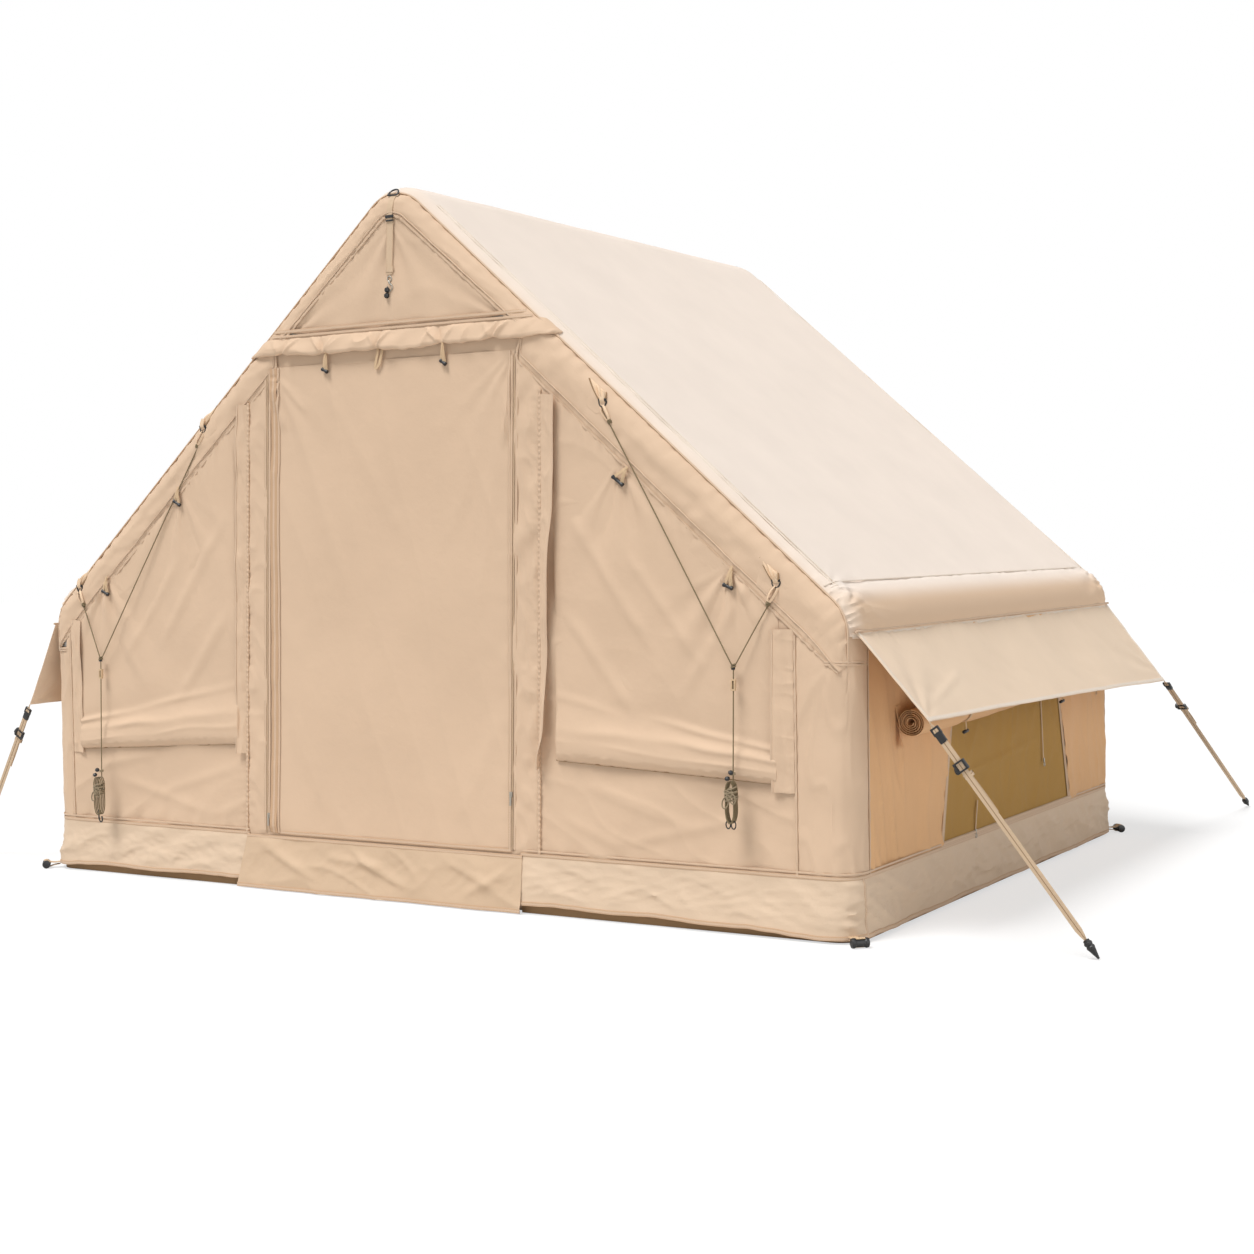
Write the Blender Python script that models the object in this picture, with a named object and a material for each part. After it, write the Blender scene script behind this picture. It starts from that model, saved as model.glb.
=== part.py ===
"""Inflatable camping tent: two air arches, a ridge beam and two eave beams, under a sewn fabric hull.

Metres, +Z up. The origin is the centre of the groundsheet's underside. The door gable faces -Y, the ridge
runs along Y, and the eave awnings hang over the -X and +X walls.
"""

import math

import bmesh
import bpy
from mathutils import Vector

# Hull
HALF_WIDTH = 1.500
HALF_DEPTH = 1.130
RIDGE_HEIGHT = 2.175
ROOF_PITCH = math.radians(41.54)
RIDGE_ROUND = 0.150
EAVE_ROUND = 0.150
EDGE_ROUND = 0.075
SKIN = 0.002
GAP = 0.0003
WALL_BOTTOM = 0.012
SLEEVE_BANDS = {"left": 0.130, "right": 0.147}
UPPER_BAND = 0.092
BAND_STEP_DROPS = (0.360, 0.385)
PIPING_TURN = math.radians(45)
ROUND_SEAT = 0.0006

# Air frame
TUBE_WALL = 0.001
TUBE_PORT = 0.012
TUBE_SIDES = 12

# Groundsheet tray and mud skirt
TRAY_WALL = 0.002
TRAY_RIM = 0.165
SKIRT_TOP = 0.172
SKIRT_HEM = 0.014
SKIRT_FLARE = 0.018
SKIRT_ENDS = {"left": -0.6200, "right": 0.4300}

# Door: its head below the ridge, and the X of its edges on the front plane
DOOR_HEAD_DROP = 0.575
DOOR_SILL = 0.178
DOOR_TOP_EDGES = {"left": -0.500, "right": 0.440}
DOOR_FOOT_EDGES = {"left": -0.543, "right": 0.402}
HINGE_SLACK = 0.0006
FLAP_THICKNESS = 0.003
FLAP_FLARE = 0.018

# Rain hood over the door
HOOD_TOP_DROP = 0.433
HOOD_FALL = 0.058
HOOD_DEPTH = 0.026
HOOD_PLEATS = 9
HOOD_END_INSET = 0.026
HOOD_END_DROP = 0.008

# Window covers on the front: X of the edge nearer the door, X of the far edge, and Z of their lower corners
COVER_EDGES = {"left": (0.650, 1.360), "right": (0.585, 1.275)}
COVER_FEET = {"left": (0.465, 0.421), "right": (0.457, 0.425)}
COVER_PUFF = 0.028

# Side windows: Y of the corners at the foot and at the head, and the head's drop below the eave
WINDOW_FOOT = (-0.513, 0.667)
WINDOW_HEAD = (-0.401, 0.525)
WINDOW_FOOT_Z = 0.178
WINDOW_HEAD_DROP = 0.169
MESH_THICKNESS = 0.0015

# Rolled side window covers: ROLL_DROPS are the drops of the two ends below the awning seam
ROLL_RADIUS = 0.043
ROLL_CORE = 0.010
ROLL_TURNS = 3.5
ROLL_SHEET = 0.0055
ROLL_ENDS_Y = (-0.835, 0.800)
ROLL_DROPS = {"left": (0.281, 0.281), "right": (0.262, 0.224)}
ROLL_TAIL = 0.045

# Eave awnings: the seam above the foot of the eave's round, and from that seam the reach out and the
# drop of the front and rear corners
AWNING_SEAM_RISE = 0.007
AWNING_SEAT = 0.0006
AWNING_CORNERS = {"left": ((0.112, 0.276), (0.112, 0.290)), "right": ((0.217, 0.229), (0.201, 0.277))}
AWNING_HALF_LENGTHS = (1.105, 1.130)
AWNING_BOW = 0.020
AWNING_SAG = 0.012

# Awning guy straps: run from the awning corner to the ground, along X away from the body and along Y
STRAP_RUNS = {"front": (0.413, 0.109), "rear": (0.080, 0.908)}
STRAP_WIDTH = 0.025
STRAP_THICKNESS = 0.003
STRAP_NECK = (0.004, 0.015, 0.022)
STRAP_START = 0.00104
STRAP_TIP = (0.0024, 0.0012)
STRAP_TAPER = 0.0045
LOCK_AT = 0.19
LOCK_SIZE = (0.040, 0.011, 0.030)
SLOT_PLAY = 0.0005
PEG_LENGTH = 0.058
PEG_RADIUS = 0.0115
PEG_TIP = 0.003

# Stowed front guy lines: X of the two anchors and their inset from the roof line, X of the junction and
# its drop below the lower anchor, and the drops of the hank's top and foot below the junction
GUY_ANCHORS = {"left": ((-0.778, 0.0405), (-1.353, 0.0439)), "right": ((0.739, 0.0604), (1.280, 0.0871))}
GUY_JUNCTIONS = {"left": (-1.237, 0.247), "right": (1.159, 0.237)}
HANK_DROPS = {"left": (0.391, 0.516), "right": (0.308, 0.423)}
GUY_CORD = 0.004
GUY_STAND_OFF = 0.028
HANK_STAND_OFF = 0.052
HANK_LOOPS = 4
HANK_WIDTH = 0.034
LOOP_POINTS = 24
GUY_SLIDER_DROP = 0.045
GUY_SLIDER_SIZE = (0.014, 0.009, 0.032)
CORD_PLAY = 0.0008
CORD_TIP = 0.0022
CORD_TIP_SHARE = 0.4

# Guy line anchors: webbing tab and ring
TAB_WIDTH = 0.022
TAB_LENGTH = 0.040
TAB_THICKNESS = 0.003
TAB_LIFT = 0.004
TAB_LEAN = 0.45
RING_RADIUS = 0.010
RING_WIRE = 0.0025

# Corner pegs
CORNER_PEG_RADIUS = 0.014
CORNER_PEG_LENGTH = 0.052
CORNER_PEG_REACH = 0.046
TONGUE_WIDTH = 0.028
TONGUE_THICKNESS = 0.004

# Apex webbing and lamp hook
APEX_TOP_DROP = 0.055
APEX_FOOT_DROP = 0.270
APEX_WEB_WIDTH = 0.036
APEX_WEB_THICKNESS = 0.003
HOOK_RING = 0.013
BEAD_RADIUS = 0.009
BEAD_RISE = 0.004

# Inflation valve, low on the rear right column
VALVE_HEIGHT = 0.300
VALVE_INSET = 0.105
VALVE_FLANGE = 0.027
VALVE_NECK = 0.019
VALVE_RISE = 0.012
CAP_RADIUS = 0.023
CAP_DEPTH = 0.012

# Zip sliders
SLIDER_HEIGHTS = {"left": 0.235, "right": 0.350}
SLIDER_BODY = (0.011, 0.006, 0.016)
SLIDER_PULL = (0.007, 0.003, 0.034)

SIDES = {"left": -1, "right": 1}
ENDS = {"front": -1, "rear": 1}

EDGE_LINE = HALF_DEPTH - EDGE_ROUND
CORNER_STEPS = 4
TUBE_RADIUS = (EDGE_ROUND - SKIN - TRAY_WALL - GAP) * math.cos(math.pi / 4 / CORNER_STEPS) - GAP
FRONT = -HALF_DEPTH
DOWN_SLOPE = Vector((math.cos(ROOF_PITCH), 0, -math.sin(ROOF_PITCH)))

# Arc lengths along the right half of the hull's section, from the ridge to the foot of the wall
RIDGE_ARC = RIDGE_ROUND * ROOF_PITCH
EAVE_ARC = EAVE_ROUND * (math.pi / 2 - ROOF_PITCH)
SLOPE = (HALF_WIDTH - EAVE_ROUND - (RIDGE_ROUND - EAVE_ROUND) * math.sin(ROOF_PITCH)) / math.cos(ROOF_PITCH)
EAVE_START = RIDGE_ARC + SLOPE
EAVE_END = EAVE_START + EAVE_ARC
ROUND_STEP = (RIDGE_ROUND - EAVE_ROUND) * math.cos(ROOF_PITCH)
EAVE_CENTRE_Z = RIDGE_HEIGHT - RIDGE_ROUND + ROUND_STEP - SLOPE * math.sin(ROOF_PITCH)
PEAK_Z = RIDGE_HEIGHT + RIDGE_ROUND * (1 / math.cos(ROOF_PITCH) - 1)

# Heights that follow the ridge or the eave
BAND_STEP_Z = [RIDGE_HEIGHT - drop for drop in BAND_STEP_DROPS]
DOOR_HEAD = RIDGE_HEIGHT - DOOR_HEAD_DROP
HOOD_TOP = RIDGE_HEIGHT - HOOD_TOP_DROP
APEX_TOP_Z = RIDGE_HEIGHT - APEX_TOP_DROP
APEX_FOOT_Z = RIDGE_HEIGHT - APEX_FOOT_DROP
AWNING_SEAM_Z = EAVE_CENTRE_Z + AWNING_SEAM_RISE
WINDOW_HEAD_Z = EAVE_CENTRE_Z - WINDOW_HEAD_DROP


# Materials


def finish(name, colour, roughness, metallic=0.0):
    look = bpy.data.materials.new(name)
    look.use_nodes = True
    shader = look.node_tree.nodes["Principled BSDF"]
    shader.inputs["Base Color"].default_value = (*colour, 1)
    shader.inputs["Roughness"].default_value = roughness
    shader.inputs["Metallic"].default_value = metallic
    return look


def clear_scene():
    for obj in list(bpy.data.objects):
        bpy.data.objects.remove(obj, do_unlink=True)


clear_scene()
ROOF_CLOTH = finish("roof_cloth", (0.84, 0.72, 0.56), 0.60)
WALL_CLOTH = finish("wall_cloth", (0.74, 0.56, 0.38), 0.62)
SKIRT_CLOTH = finish("skirt_cloth", (0.70, 0.53, 0.36), 0.50)
FLOOR_CLOTH = finish("floor_cloth", (0.33, 0.20, 0.10), 0.55)
BLADDER = finish("bladder_film", (0.80, 0.80, 0.78), 0.35)
SCREEN = finish("insect_screen", (0.40, 0.31, 0.14), 0.85)
WEBBING = finish("webbing", (0.68, 0.50, 0.34), 0.75)
CORD = finish("guy_cord", (0.36, 0.29, 0.20), 0.80)
BLACK_PLASTIC = finish("black_plastic", (0.02, 0.02, 0.022), 0.45)
STEEL = finish("hook_steel", (0.45, 0.42, 0.38), 0.30, 1.0)


# Objects


def add(name, bm, look, pivot=(0, 0, 0)):
    """Links the mesh as one object whose origin is its pivot."""
    bmesh.ops.recalc_face_normals(bm, faces=bm.faces)
    bmesh.ops.translate(bm, vec=-Vector(pivot), verts=bm.verts)
    mesh = bpy.data.meshes.new(name)
    bm.to_mesh(mesh)
    bm.free()
    mesh.materials.append(look)
    mesh.shade_smooth()
    mesh.set_sharp_from_angle(angle=math.radians(40))
    obj = bpy.data.objects.new(name, mesh)
    obj.location = pivot
    bpy.context.scene.collection.objects.link(obj)
    return obj


def weld_on(target, piece):
    """Joins a helper piece to the target as one solid."""
    piece.hide_render = True
    piece.display_type = "WIRE"
    join = target.modifiers.new(piece.name, "BOOLEAN")
    join.operation = "UNION"
    join.object = piece


def sheet(name, rows, look, thickness=SKIN, holes=(), pivot=(0, 0, 0)):
    """A closed sheet under a grid of (outer point, outward normal) pairs, open at the cells in holes."""
    bm = bmesh.new()
    outer = [[bm.verts.new(point) for point, _ in row] for row in rows]
    inner = [[bm.verts.new(point - normal * thickness) for point, normal in row] for row in rows]
    cells = {(i, j) for i in range(len(rows) - 1) for j in range(len(rows[0]) - 1)} - set(holes)
    for i, j in sorted(cells):
        corners = [(i, j), (i, j + 1), (i + 1, j + 1), (i + 1, j)]
        bm.faces.new([outer[a][b] for a, b in corners])
        bm.faces.new([inner[a][b] for a, b in reversed(corners)])
        neighbours = [(i - 1, j), (i, j + 1), (i + 1, j), (i, j - 1)]
        for k, neighbour in enumerate(neighbours):
            if neighbour in cells:
                continue
            (a, b), (c, d) = corners[k], corners[(k + 1) % 4]
            bm.faces.new([outer[c][d], outer[a][b], inner[a][b], inner[c][d]])
    unused = [v for v in bm.verts if not v.link_faces]
    bmesh.ops.delete(bm, geom=unused, context="VERTS")
    return add(name, bm, look, pivot)


def prism(name, base, axis, hint, stations, look, pivot=(0, 0, 0)):
    """A bar along the axis over stations of (distance, width, thickness); its width lies nearest to hint."""
    across, through = frame_of(axis, hint)
    axis = Vector(axis).normalized()
    bm = bmesh.new()
    loops = []
    for distance, width, thickness in stations:
        middle = Vector(base) + axis * distance
        signs = ((-1, -1), (1, -1), (1, 1), (-1, 1))
        spots = [middle + across * width / 2 * a + through * thickness / 2 * b for a, b in signs]
        loops.append([bm.verts.new(spot) for spot in spots])
    for one, two in zip(loops, loops[1:]):
        for k in range(4):
            n = (k + 1) % 4
            bm.faces.new([one[k], one[n], two[n], two[k]])
    bm.faces.new(loops[0])
    bm.faces.new(loops[-1])
    return add(name, bm, look, pivot)


def plate(name, outline, look, outer_y, thickness=SKIN, pivot=(0, 0, 0)):
    """A flat panel in the XZ plane, from its outer face at outer_y towards the inside of the tent."""
    inner_y = outer_y - math.copysign(thickness, outer_y)
    bm = bmesh.new()
    loops = [[bm.verts.new((x, y, z)) for x, z in outline] for y in (outer_y, inner_y)]
    bm.faces.new(loops[0])
    bm.faces.new(reversed(loops[1]))
    for k in range(len(outline)):
        n = (k + 1) % len(outline)
        bm.faces.new([loops[0][n], loops[0][k], loops[1][k], loops[1][n]])
    return add(name, bm, look, pivot)


def frame_of(axis, hint):
    """Two unit vectors square to the axis, the first as near to hint as it can be."""
    axis = Vector(axis).normalized()
    first = (Vector(hint) - axis * axis.dot(Vector(hint))).normalized()
    return first, axis.cross(first)


def skinned(name, stations, sides, look, pivot=(0, 0, 0)):
    """A closed skin over rings, each (centre, first axis, second axis, radius); a radius of 0 is a pole."""
    bm = bmesh.new()
    rings = []
    for centre, first, second, radius in stations:
        if radius == 0:
            rings.append([bm.verts.new(centre)])
            continue
        turns = [2 * math.pi * k / sides for k in range(sides)]
        spokes = [first * math.cos(t) + second * math.sin(t) for t in turns]
        rings.append([bm.verts.new(centre + spoke * radius) for spoke in spokes])
    for one, two in zip(rings, rings[1:]):
        for k in range(sides):
            n = (k + 1) % sides
            corners = [one[k % len(one)], one[n % len(one)], two[n % len(two)], two[k % len(two)]]
            bm.faces.new(dict.fromkeys(corners))
    for ring in (rings[0], rings[-1]):
        if len(ring) > 1:
            bm.faces.new(ring)
    return add(name, bm, look, pivot)


def turned(name, base, axis, profile, look, sides=16, hint=(0, 0, 1), pivot=(0, 0, 0)):
    """A turned solid: profile holds (distance along the axis, radius)."""
    axis = Vector(axis).normalized()
    first, second = frame_of(axis, hint)
    stations = [(Vector(base) + axis * distance, first, second, radius) for distance, radius in profile]
    return skinned(name, stations, sides, look, pivot)


def ring(name, centre, normal, hint, radius, wire, look, pivot=(0, 0, 0), sides=14, wire_sides=6):
    """A closed round ring of wire."""
    first, second = frame_of(normal, hint)
    normal = Vector(normal).normalized()
    bm = bmesh.new()
    loops = []
    for k in range(sides):
        turn = 2 * math.pi * k / sides
        out = first * math.cos(turn) + second * math.sin(turn)
        middle = Vector(centre) + out * radius
        angles = [2 * math.pi * m / wire_sides for m in range(wire_sides)]
        spokes = [out * math.cos(a) + normal * math.sin(a) for a in angles]
        loops.append([bm.verts.new(middle + spoke * wire) for spoke in spokes])
    for k in range(sides):
        one, two = loops[k], loops[(k + 1) % sides]
        for m in range(wire_sides):
            n = (m + 1) % wire_sides
            bm.faces.new([one[m], one[n], two[n], two[m]])
    return add(name, bm, look, pivot)


def slotted(name, centre, axis, hint, size, look, slot, pivot=(0, 0, 0)):
    """A block of size (width, thickness, length) along the axis, with a slot through it."""
    across, through = frame_of(axis, hint)
    along = Vector(axis).normalized() * size[2] / 2
    bm = bmesh.new()

    def loop(width, thickness, end):
        signs = ((-1, -1), (1, -1), (1, 1), (-1, 1))
        middle = Vector(centre) + along * end
        one, two = across * width / 2, through * thickness / 2
        return [bm.verts.new(middle + one * a + two * b) for a, b in signs]

    outer = [loop(size[0], size[1], end) for end in (-1, 1)]
    inner = [loop(slot[0], slot[1], end) for end in (-1, 1)]
    for k in range(4):
        n = (k + 1) % 4
        bm.faces.new([outer[0][k], outer[0][n], outer[1][n], outer[1][k]])
        bm.faces.new([inner[0][n], inner[0][k], inner[1][k], inner[1][n]])
        bm.faces.new([outer[0][n], outer[0][k], inner[0][k], inner[0][n]])
        bm.faces.new([outer[1][k], outer[1][n], inner[1][n], inner[1][k]])
    return add(name, bm, look, pivot)


def cord(name, points, diameter, look, resolution=2, pivot=(0, 0, 0), tip=1.0):
    """A round cord along the points, with closed ends; tip is the share of its thickness at both ends."""
    data = bpy.data.curves.new(name, "CURVE")
    data.dimensions = "3D"
    data.bevel_depth = diameter / 2
    data.bevel_resolution = resolution
    data.use_fill_caps = True
    spline = data.splines.new("POLY")
    spline.points.add(len(points) - 1)
    for slot, point in zip(spline.points, points):
        slot.co = (*(Vector(point) - Vector(pivot)), 1)
    spline.points[0].radius = spline.points[-1].radius = tip
    data.materials.append(look)
    obj = bpy.data.objects.new(name, data)
    obj.location = pivot
    bpy.context.scene.collection.objects.link(obj)
    return obj


def smooth(route, steps):
    """Points on a Catmull-Rom curve through the route, steps of them between each two."""
    route = [Vector(p) for p in route]
    ends = [route[0] * 2 - route[1], *route, route[-1] * 2 - route[-2]]
    points = []
    for a, b, c, d in zip(ends, ends[1:], ends[2:], ends[3:]):
        for k in range(steps):
            t = k / steps
            square, cube = a * 2 - b * 5 + c * 4 - d, b * 3 - a - c * 3 + d
            points.append(((b * 2) + (c - a) * t + square * t**2 + cube * t**3) / 2)
    return points + [route[-1]]


def least_gap(points, diameter):
    """The least gap between a cord's turns, leaving out what lies within six diameters along the cord."""
    runs = [0.0]
    for one, two in zip(points, points[1:]):
        runs.append(runs[-1] + (two - one).length)
    clear = [
        (points[i] - points[j]).length
        for i in range(len(points))
        for j in range(i + 1, len(points))
        if runs[j] - runs[i] > 6 * diameter
    ]
    return min(clear) - diameter


# Hull surface


def section(s):
    """Point and outward normal of the hull's section in X and Z, at arc length s from the ridge."""
    side = -1 if s < 0 else 1
    s = abs(s)
    if s <= RIDGE_ARC:
        turn = s / RIDGE_ROUND
        centre = Vector((0, 0, RIDGE_HEIGHT - RIDGE_ROUND))
        normal = Vector((math.sin(turn), 0, math.cos(turn)))
        point = centre + normal * RIDGE_ROUND
    elif s <= EAVE_START:
        normal = Vector((math.sin(ROOF_PITCH), 0, math.cos(ROOF_PITCH)))
        start = Vector((0, 0, RIDGE_HEIGHT - RIDGE_ROUND)) + normal * RIDGE_ROUND
        point = start + DOWN_SLOPE * (s - RIDGE_ARC)
    else:
        turn = min(ROOF_PITCH + (s - EAVE_START) / EAVE_ROUND, math.pi / 2)
        normal = Vector((math.sin(turn), 0, math.cos(turn)))
        point = Vector((HALF_WIDTH - EAVE_ROUND, 0, EAVE_CENTRE_Z)) + normal * EAVE_ROUND
        point.z -= max(0.0, s - EAVE_END)
    return Vector((point.x * side, 0, point.z)), Vector((normal.x * side, 0, normal.z))


def hull(s, w):
    """Point and normal of the hull: w runs from the middle over the rounded edge and onto the gable."""
    end = -1 if w < 0 else 1
    w = abs(w)
    point, normal = section(s)
    out = Vector((0, end, 0))
    if w <= EDGE_LINE:
        return point + out * w, normal
    turn = min((w - EDGE_LINE) / EDGE_ROUND, math.pi / 2)
    inward = max(0.0, w - EDGE_LINE - EDGE_ROUND * math.pi / 2)
    spot = point - normal * (EDGE_ROUND * (1 - math.cos(turn)) + inward)
    spot += out * (EDGE_LINE + EDGE_ROUND * math.sin(turn))
    return spot, normal * math.cos(turn) + out * math.sin(turn)


def wall_s(z):
    """Arc length at which the wall reaches the height z."""
    return EAVE_END + EAVE_CENTRE_Z - z


def slope_z(x, inset):
    """Height on the gable of the line parallel to the roof and inset below it, at X = x."""
    return PEAK_Z - inset / math.cos(ROOF_PITCH) - abs(x) * math.tan(ROOF_PITCH)


def slope_x(z, inset):
    return (PEAK_Z - inset / math.cos(ROOF_PITCH) - z) / math.tan(ROOF_PITCH)


def slope_s(z):
    """Arc length at which the roof's slope reaches the height z."""
    return (PEAK_Z - z) / math.sin(ROOF_PITCH) - RIDGE_ROUND * math.tan(ROOF_PITCH) + RIDGE_ARC


def band(s):
    """Width of the sleeve's face on the gable, narrower above the rain hood."""
    if abs(s) < slope_s(sum(BAND_STEP_Z) / 2):
        return UPPER_BAND
    return SLEEVE_BANDS["left" if s < 0 else "right"]


def section_steps(start, stop):
    """Arc lengths from start to stop, with steps in the rounds and where the sleeve's band changes."""
    steps = [slope_s(z) * side for z in BAND_STEP_Z for side in (-1, 1)]
    marks = {start, stop, *(s for s in steps if start < s < stop)}
    for low, high, count in ((0, RIDGE_ARC, 3), (EAVE_START, EAVE_END, 4)):
        for k in range(count + 1):
            s = low + (high - low) * k / count
            marks.update(m for m in (s, -s) if start < m < stop)
    return sorted(marks)


PIPING_W = EDGE_LINE + EDGE_ROUND * PIPING_TURN
FLAT_W = EDGE_LINE + EDGE_ROUND * math.pi / 2
EDGE_STEPS = [EDGE_LINE + EDGE_ROUND * PIPING_TURN * k / 2 for k in range(3)]
ACROSS = [-w for w in reversed(EDGE_STEPS)] + EDGE_STEPS


def make_roof():
    marks = section_steps(-EAVE_END, EAVE_END)
    sheet("roof", [[hull(s, w) for w in ACROSS] for s in marks], ROOF_CLOTH)


def make_sleeve(name, end):
    """Sleeve of an arch, from the piping over the edge to the seam on the gable."""
    foot = wall_s(WALL_BOTTOM)
    turns = [PIPING_TURN + (math.pi / 2 - PIPING_TURN) * k / 2 for k in range(3)]
    widths = [EDGE_LINE + EDGE_ROUND * turn for turn in turns]
    widths[0] += GAP
    rows = []
    for s in section_steps(-foot, foot):
        inner_seam = FLAT_W + band(s) - EDGE_ROUND
        rows.append([hull(s, w * end) for w in (*widths, inner_seam)])
    sheet(name, rows, WALL_CLOTH)


def make_side_wall(name, side):
    """Wall under the eave, wrapped round to the corner piping, with the window opening."""
    heights = [EAVE_CENTRE_Z - GAP, WINDOW_HEAD_Z, WINDOW_FOOT_Z, WALL_BOTTOM]
    rows = []
    for z in heights:
        share = min(max((z - WINDOW_FOOT_Z) / (WINDOW_HEAD_Z - WINDOW_FOOT_Z), 0.0), 1.0)
        edges = [low + (high - low) * share for low, high in zip(WINDOW_FOOT, WINDOW_HEAD)]
        widths = ACROSS[:3] + edges + ACROSS[3:]
        rows.append([hull(wall_s(z) * side, w) for w in widths])
    sheet(name, rows, WALL_CLOTH, holes=[(1, 3)])


def make_side_mesh(name, side):
    """Insect screen that closes a side window."""
    outer = HALF_WIDTH - GAP
    corners = (
        (WINDOW_FOOT[0] + GAP, WINDOW_FOOT_Z + GAP),
        (WINDOW_FOOT[1] - GAP, WINDOW_FOOT_Z + GAP),
        (WINDOW_HEAD[1] - GAP, WINDOW_HEAD_Z - GAP),
        (WINDOW_HEAD[0] + GAP, WINDOW_HEAD_Z - GAP),
    )
    out = Vector((side, 0, 0))
    points = [(Vector((outer * side, y, z)), out) for y, z in corners]
    rows = [[points[0], points[1]], [points[3], points[2]]]
    sheet(name, rows, SCREEN, MESH_THICKNESS)


# Gable panels


def gable_line(marks):
    """Points (x, z) of the sleeve's seam on a gable, a gap inside it."""
    line = []
    for s in marks:
        point, normal = section(s)
        spot = point - normal * (band(s) + GAP)
        line.append((spot.x, spot.z))
    return line


def gable_face(x, z):
    """Point and outward normal of the front gable at (x, z), over the roof's pitch or the ridge."""
    slope_inset = (PEAK_Z - abs(x) * math.tan(ROOF_PITCH) - z) * math.cos(ROOF_PITCH)
    if abs(x) < RIDGE_ROUND * math.sin(ROOF_PITCH) * 0.5:
        inset, up = RIDGE_HEIGHT - z, Vector((0, 0, 1))
    else:
        inset, up = slope_inset, Vector((math.copysign(math.sin(ROOF_PITCH), x), 0, math.cos(ROOF_PITCH)))
    climb = min(max(EDGE_ROUND - inset, 0.0), EDGE_ROUND)
    level = math.sqrt(EDGE_ROUND**2 - climb**2)
    normal = (up * climb + Vector((0, -level, 0))) / EDGE_ROUND
    return Vector((x, -EDGE_LINE - level, z)), normal


def make_gable_panel():
    crown = section_steps(-slope_s(BAND_STEP_Z[1]), slope_s(BAND_STEP_Z[1]))
    feet = {key: slope_x(DOOR_HEAD, SLEEVE_BANDS[key] + GAP) * side for key, side in SIDES.items()}
    outline = [(feet["left"], DOOR_HEAD), *gable_line(crown), (feet["right"], DOOR_HEAD)]
    plate("gable_panel", outline, WALL_CLOTH, FRONT)


def make_front_wall(name, key):
    """Wall between the door and the corner sleeve, with its insect screen in one panel."""
    side = SIDES[key]
    inset = SLEEVE_BANDS[key] + GAP
    low = abs(DOOR_FOOT_EDGES[key]) + GAP
    high = abs(DOOR_TOP_EDGES[key]) + GAP
    lean = (high - low) / (DOOR_HEAD - DOOR_SILL)
    top_z = DOOR_HEAD - GAP
    top = min(high, slope_x(top_z, inset) - GAP)
    marks = [m for m in section_steps(0, wall_s(WALL_BOTTOM)) if m >= EAVE_START]
    eave = [(abs(x), z) for x, z in gable_line([m * side for m in marks])]
    foot = low - lean * (DOOR_SILL - WALL_BOTTOM)
    outline = [(foot, WALL_BOTTOM), (top, top_z), (slope_x(top_z, inset), top_z), *eave]
    plate(name, [(x * side, z) for x, z in outline], WALL_CLOTH, FRONT)


def make_rear_wall():
    foot = wall_s(WALL_BOTTOM)
    plate("rear_wall", gable_line(section_steps(-foot, foot)), WALL_CLOTH, HALF_DEPTH)


# Air frame


def air_tube(name, path, side_hint, radius=TUBE_RADIUS):
    """A bladder along (centre, direction) stations, hollow, with its air port in the last end."""
    outer = []
    inner = []
    last = len(path) - 1
    for k, (centre, direction) in enumerate(path):
        first, second = frame_of(direction, side_hint)
        direction = Vector(direction).normalized()
        step = {0: TUBE_WALL, last: -TUBE_WALL}.get(k, 0.0)
        outer.append((centre, first, second, radius))
        inner.append((centre + direction * step, first, second, radius - TUBE_WALL))
    near, far = outer[-1], inner[-1]
    port = [(near[0], near[1], near[2], TUBE_PORT), (far[0], far[1], far[2], TUBE_PORT)]
    start = (outer[0][0], outer[0][1], outer[0][2], 0)
    finish_pole = (inner[0][0], inner[0][1], inner[0][2], 0)
    skinned(name, [start, *outer, *port, *reversed(inner), finish_pole], TUBE_SIDES, BLADDER)


def make_arch_tube(name, end):
    foot = wall_s(TRAY_WALL + GAP)
    path = []
    for s in section_steps(-foot, foot):
        point, normal = section(s)
        centre = point - normal * EDGE_ROUND + Vector((0, EDGE_LINE * end, 0))
        path.append((centre, Vector((normal.z, 0, -normal.x))))
    air_tube(name, path, (0, 1, 0))


def make_beam(name, s):
    """Straight beam between the arches, under the hull at arc length s."""
    point, normal = section(s)
    centre = point - normal * EDGE_ROUND
    reach = EDGE_LINE - TUBE_RADIUS - GAP
    path = [(centre + Vector((0, y, 0)), Vector((0, 1, 0))) for y in (-reach, reach)]
    air_tube(name, path, (1, 0, 0))


# Groundsheet, mud skirt and threshold flap


def rounded_path(half_x, half_y, radius, start, stop):
    """Points and normals (x, y) of the right half of a rounded rectangle, from (start, -y) to (stop, +y)."""
    path = [((start, -half_y), (0, -1))]
    for corner_y, first in ((-1, -math.pi / 2), (1, 0.0)):
        for k in range(CORNER_STEPS + 1):
            turn = first + math.pi / 2 * k / CORNER_STEPS
            normal = (math.cos(turn), math.sin(turn))
            centre = (half_x - radius, (half_y - radius) * corner_y)
            path.append(((centre[0] + normal[0] * radius, centre[1] + normal[1] * radius), normal))
    path.append(((stop, half_y), (0, 1)))
    return path


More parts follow.
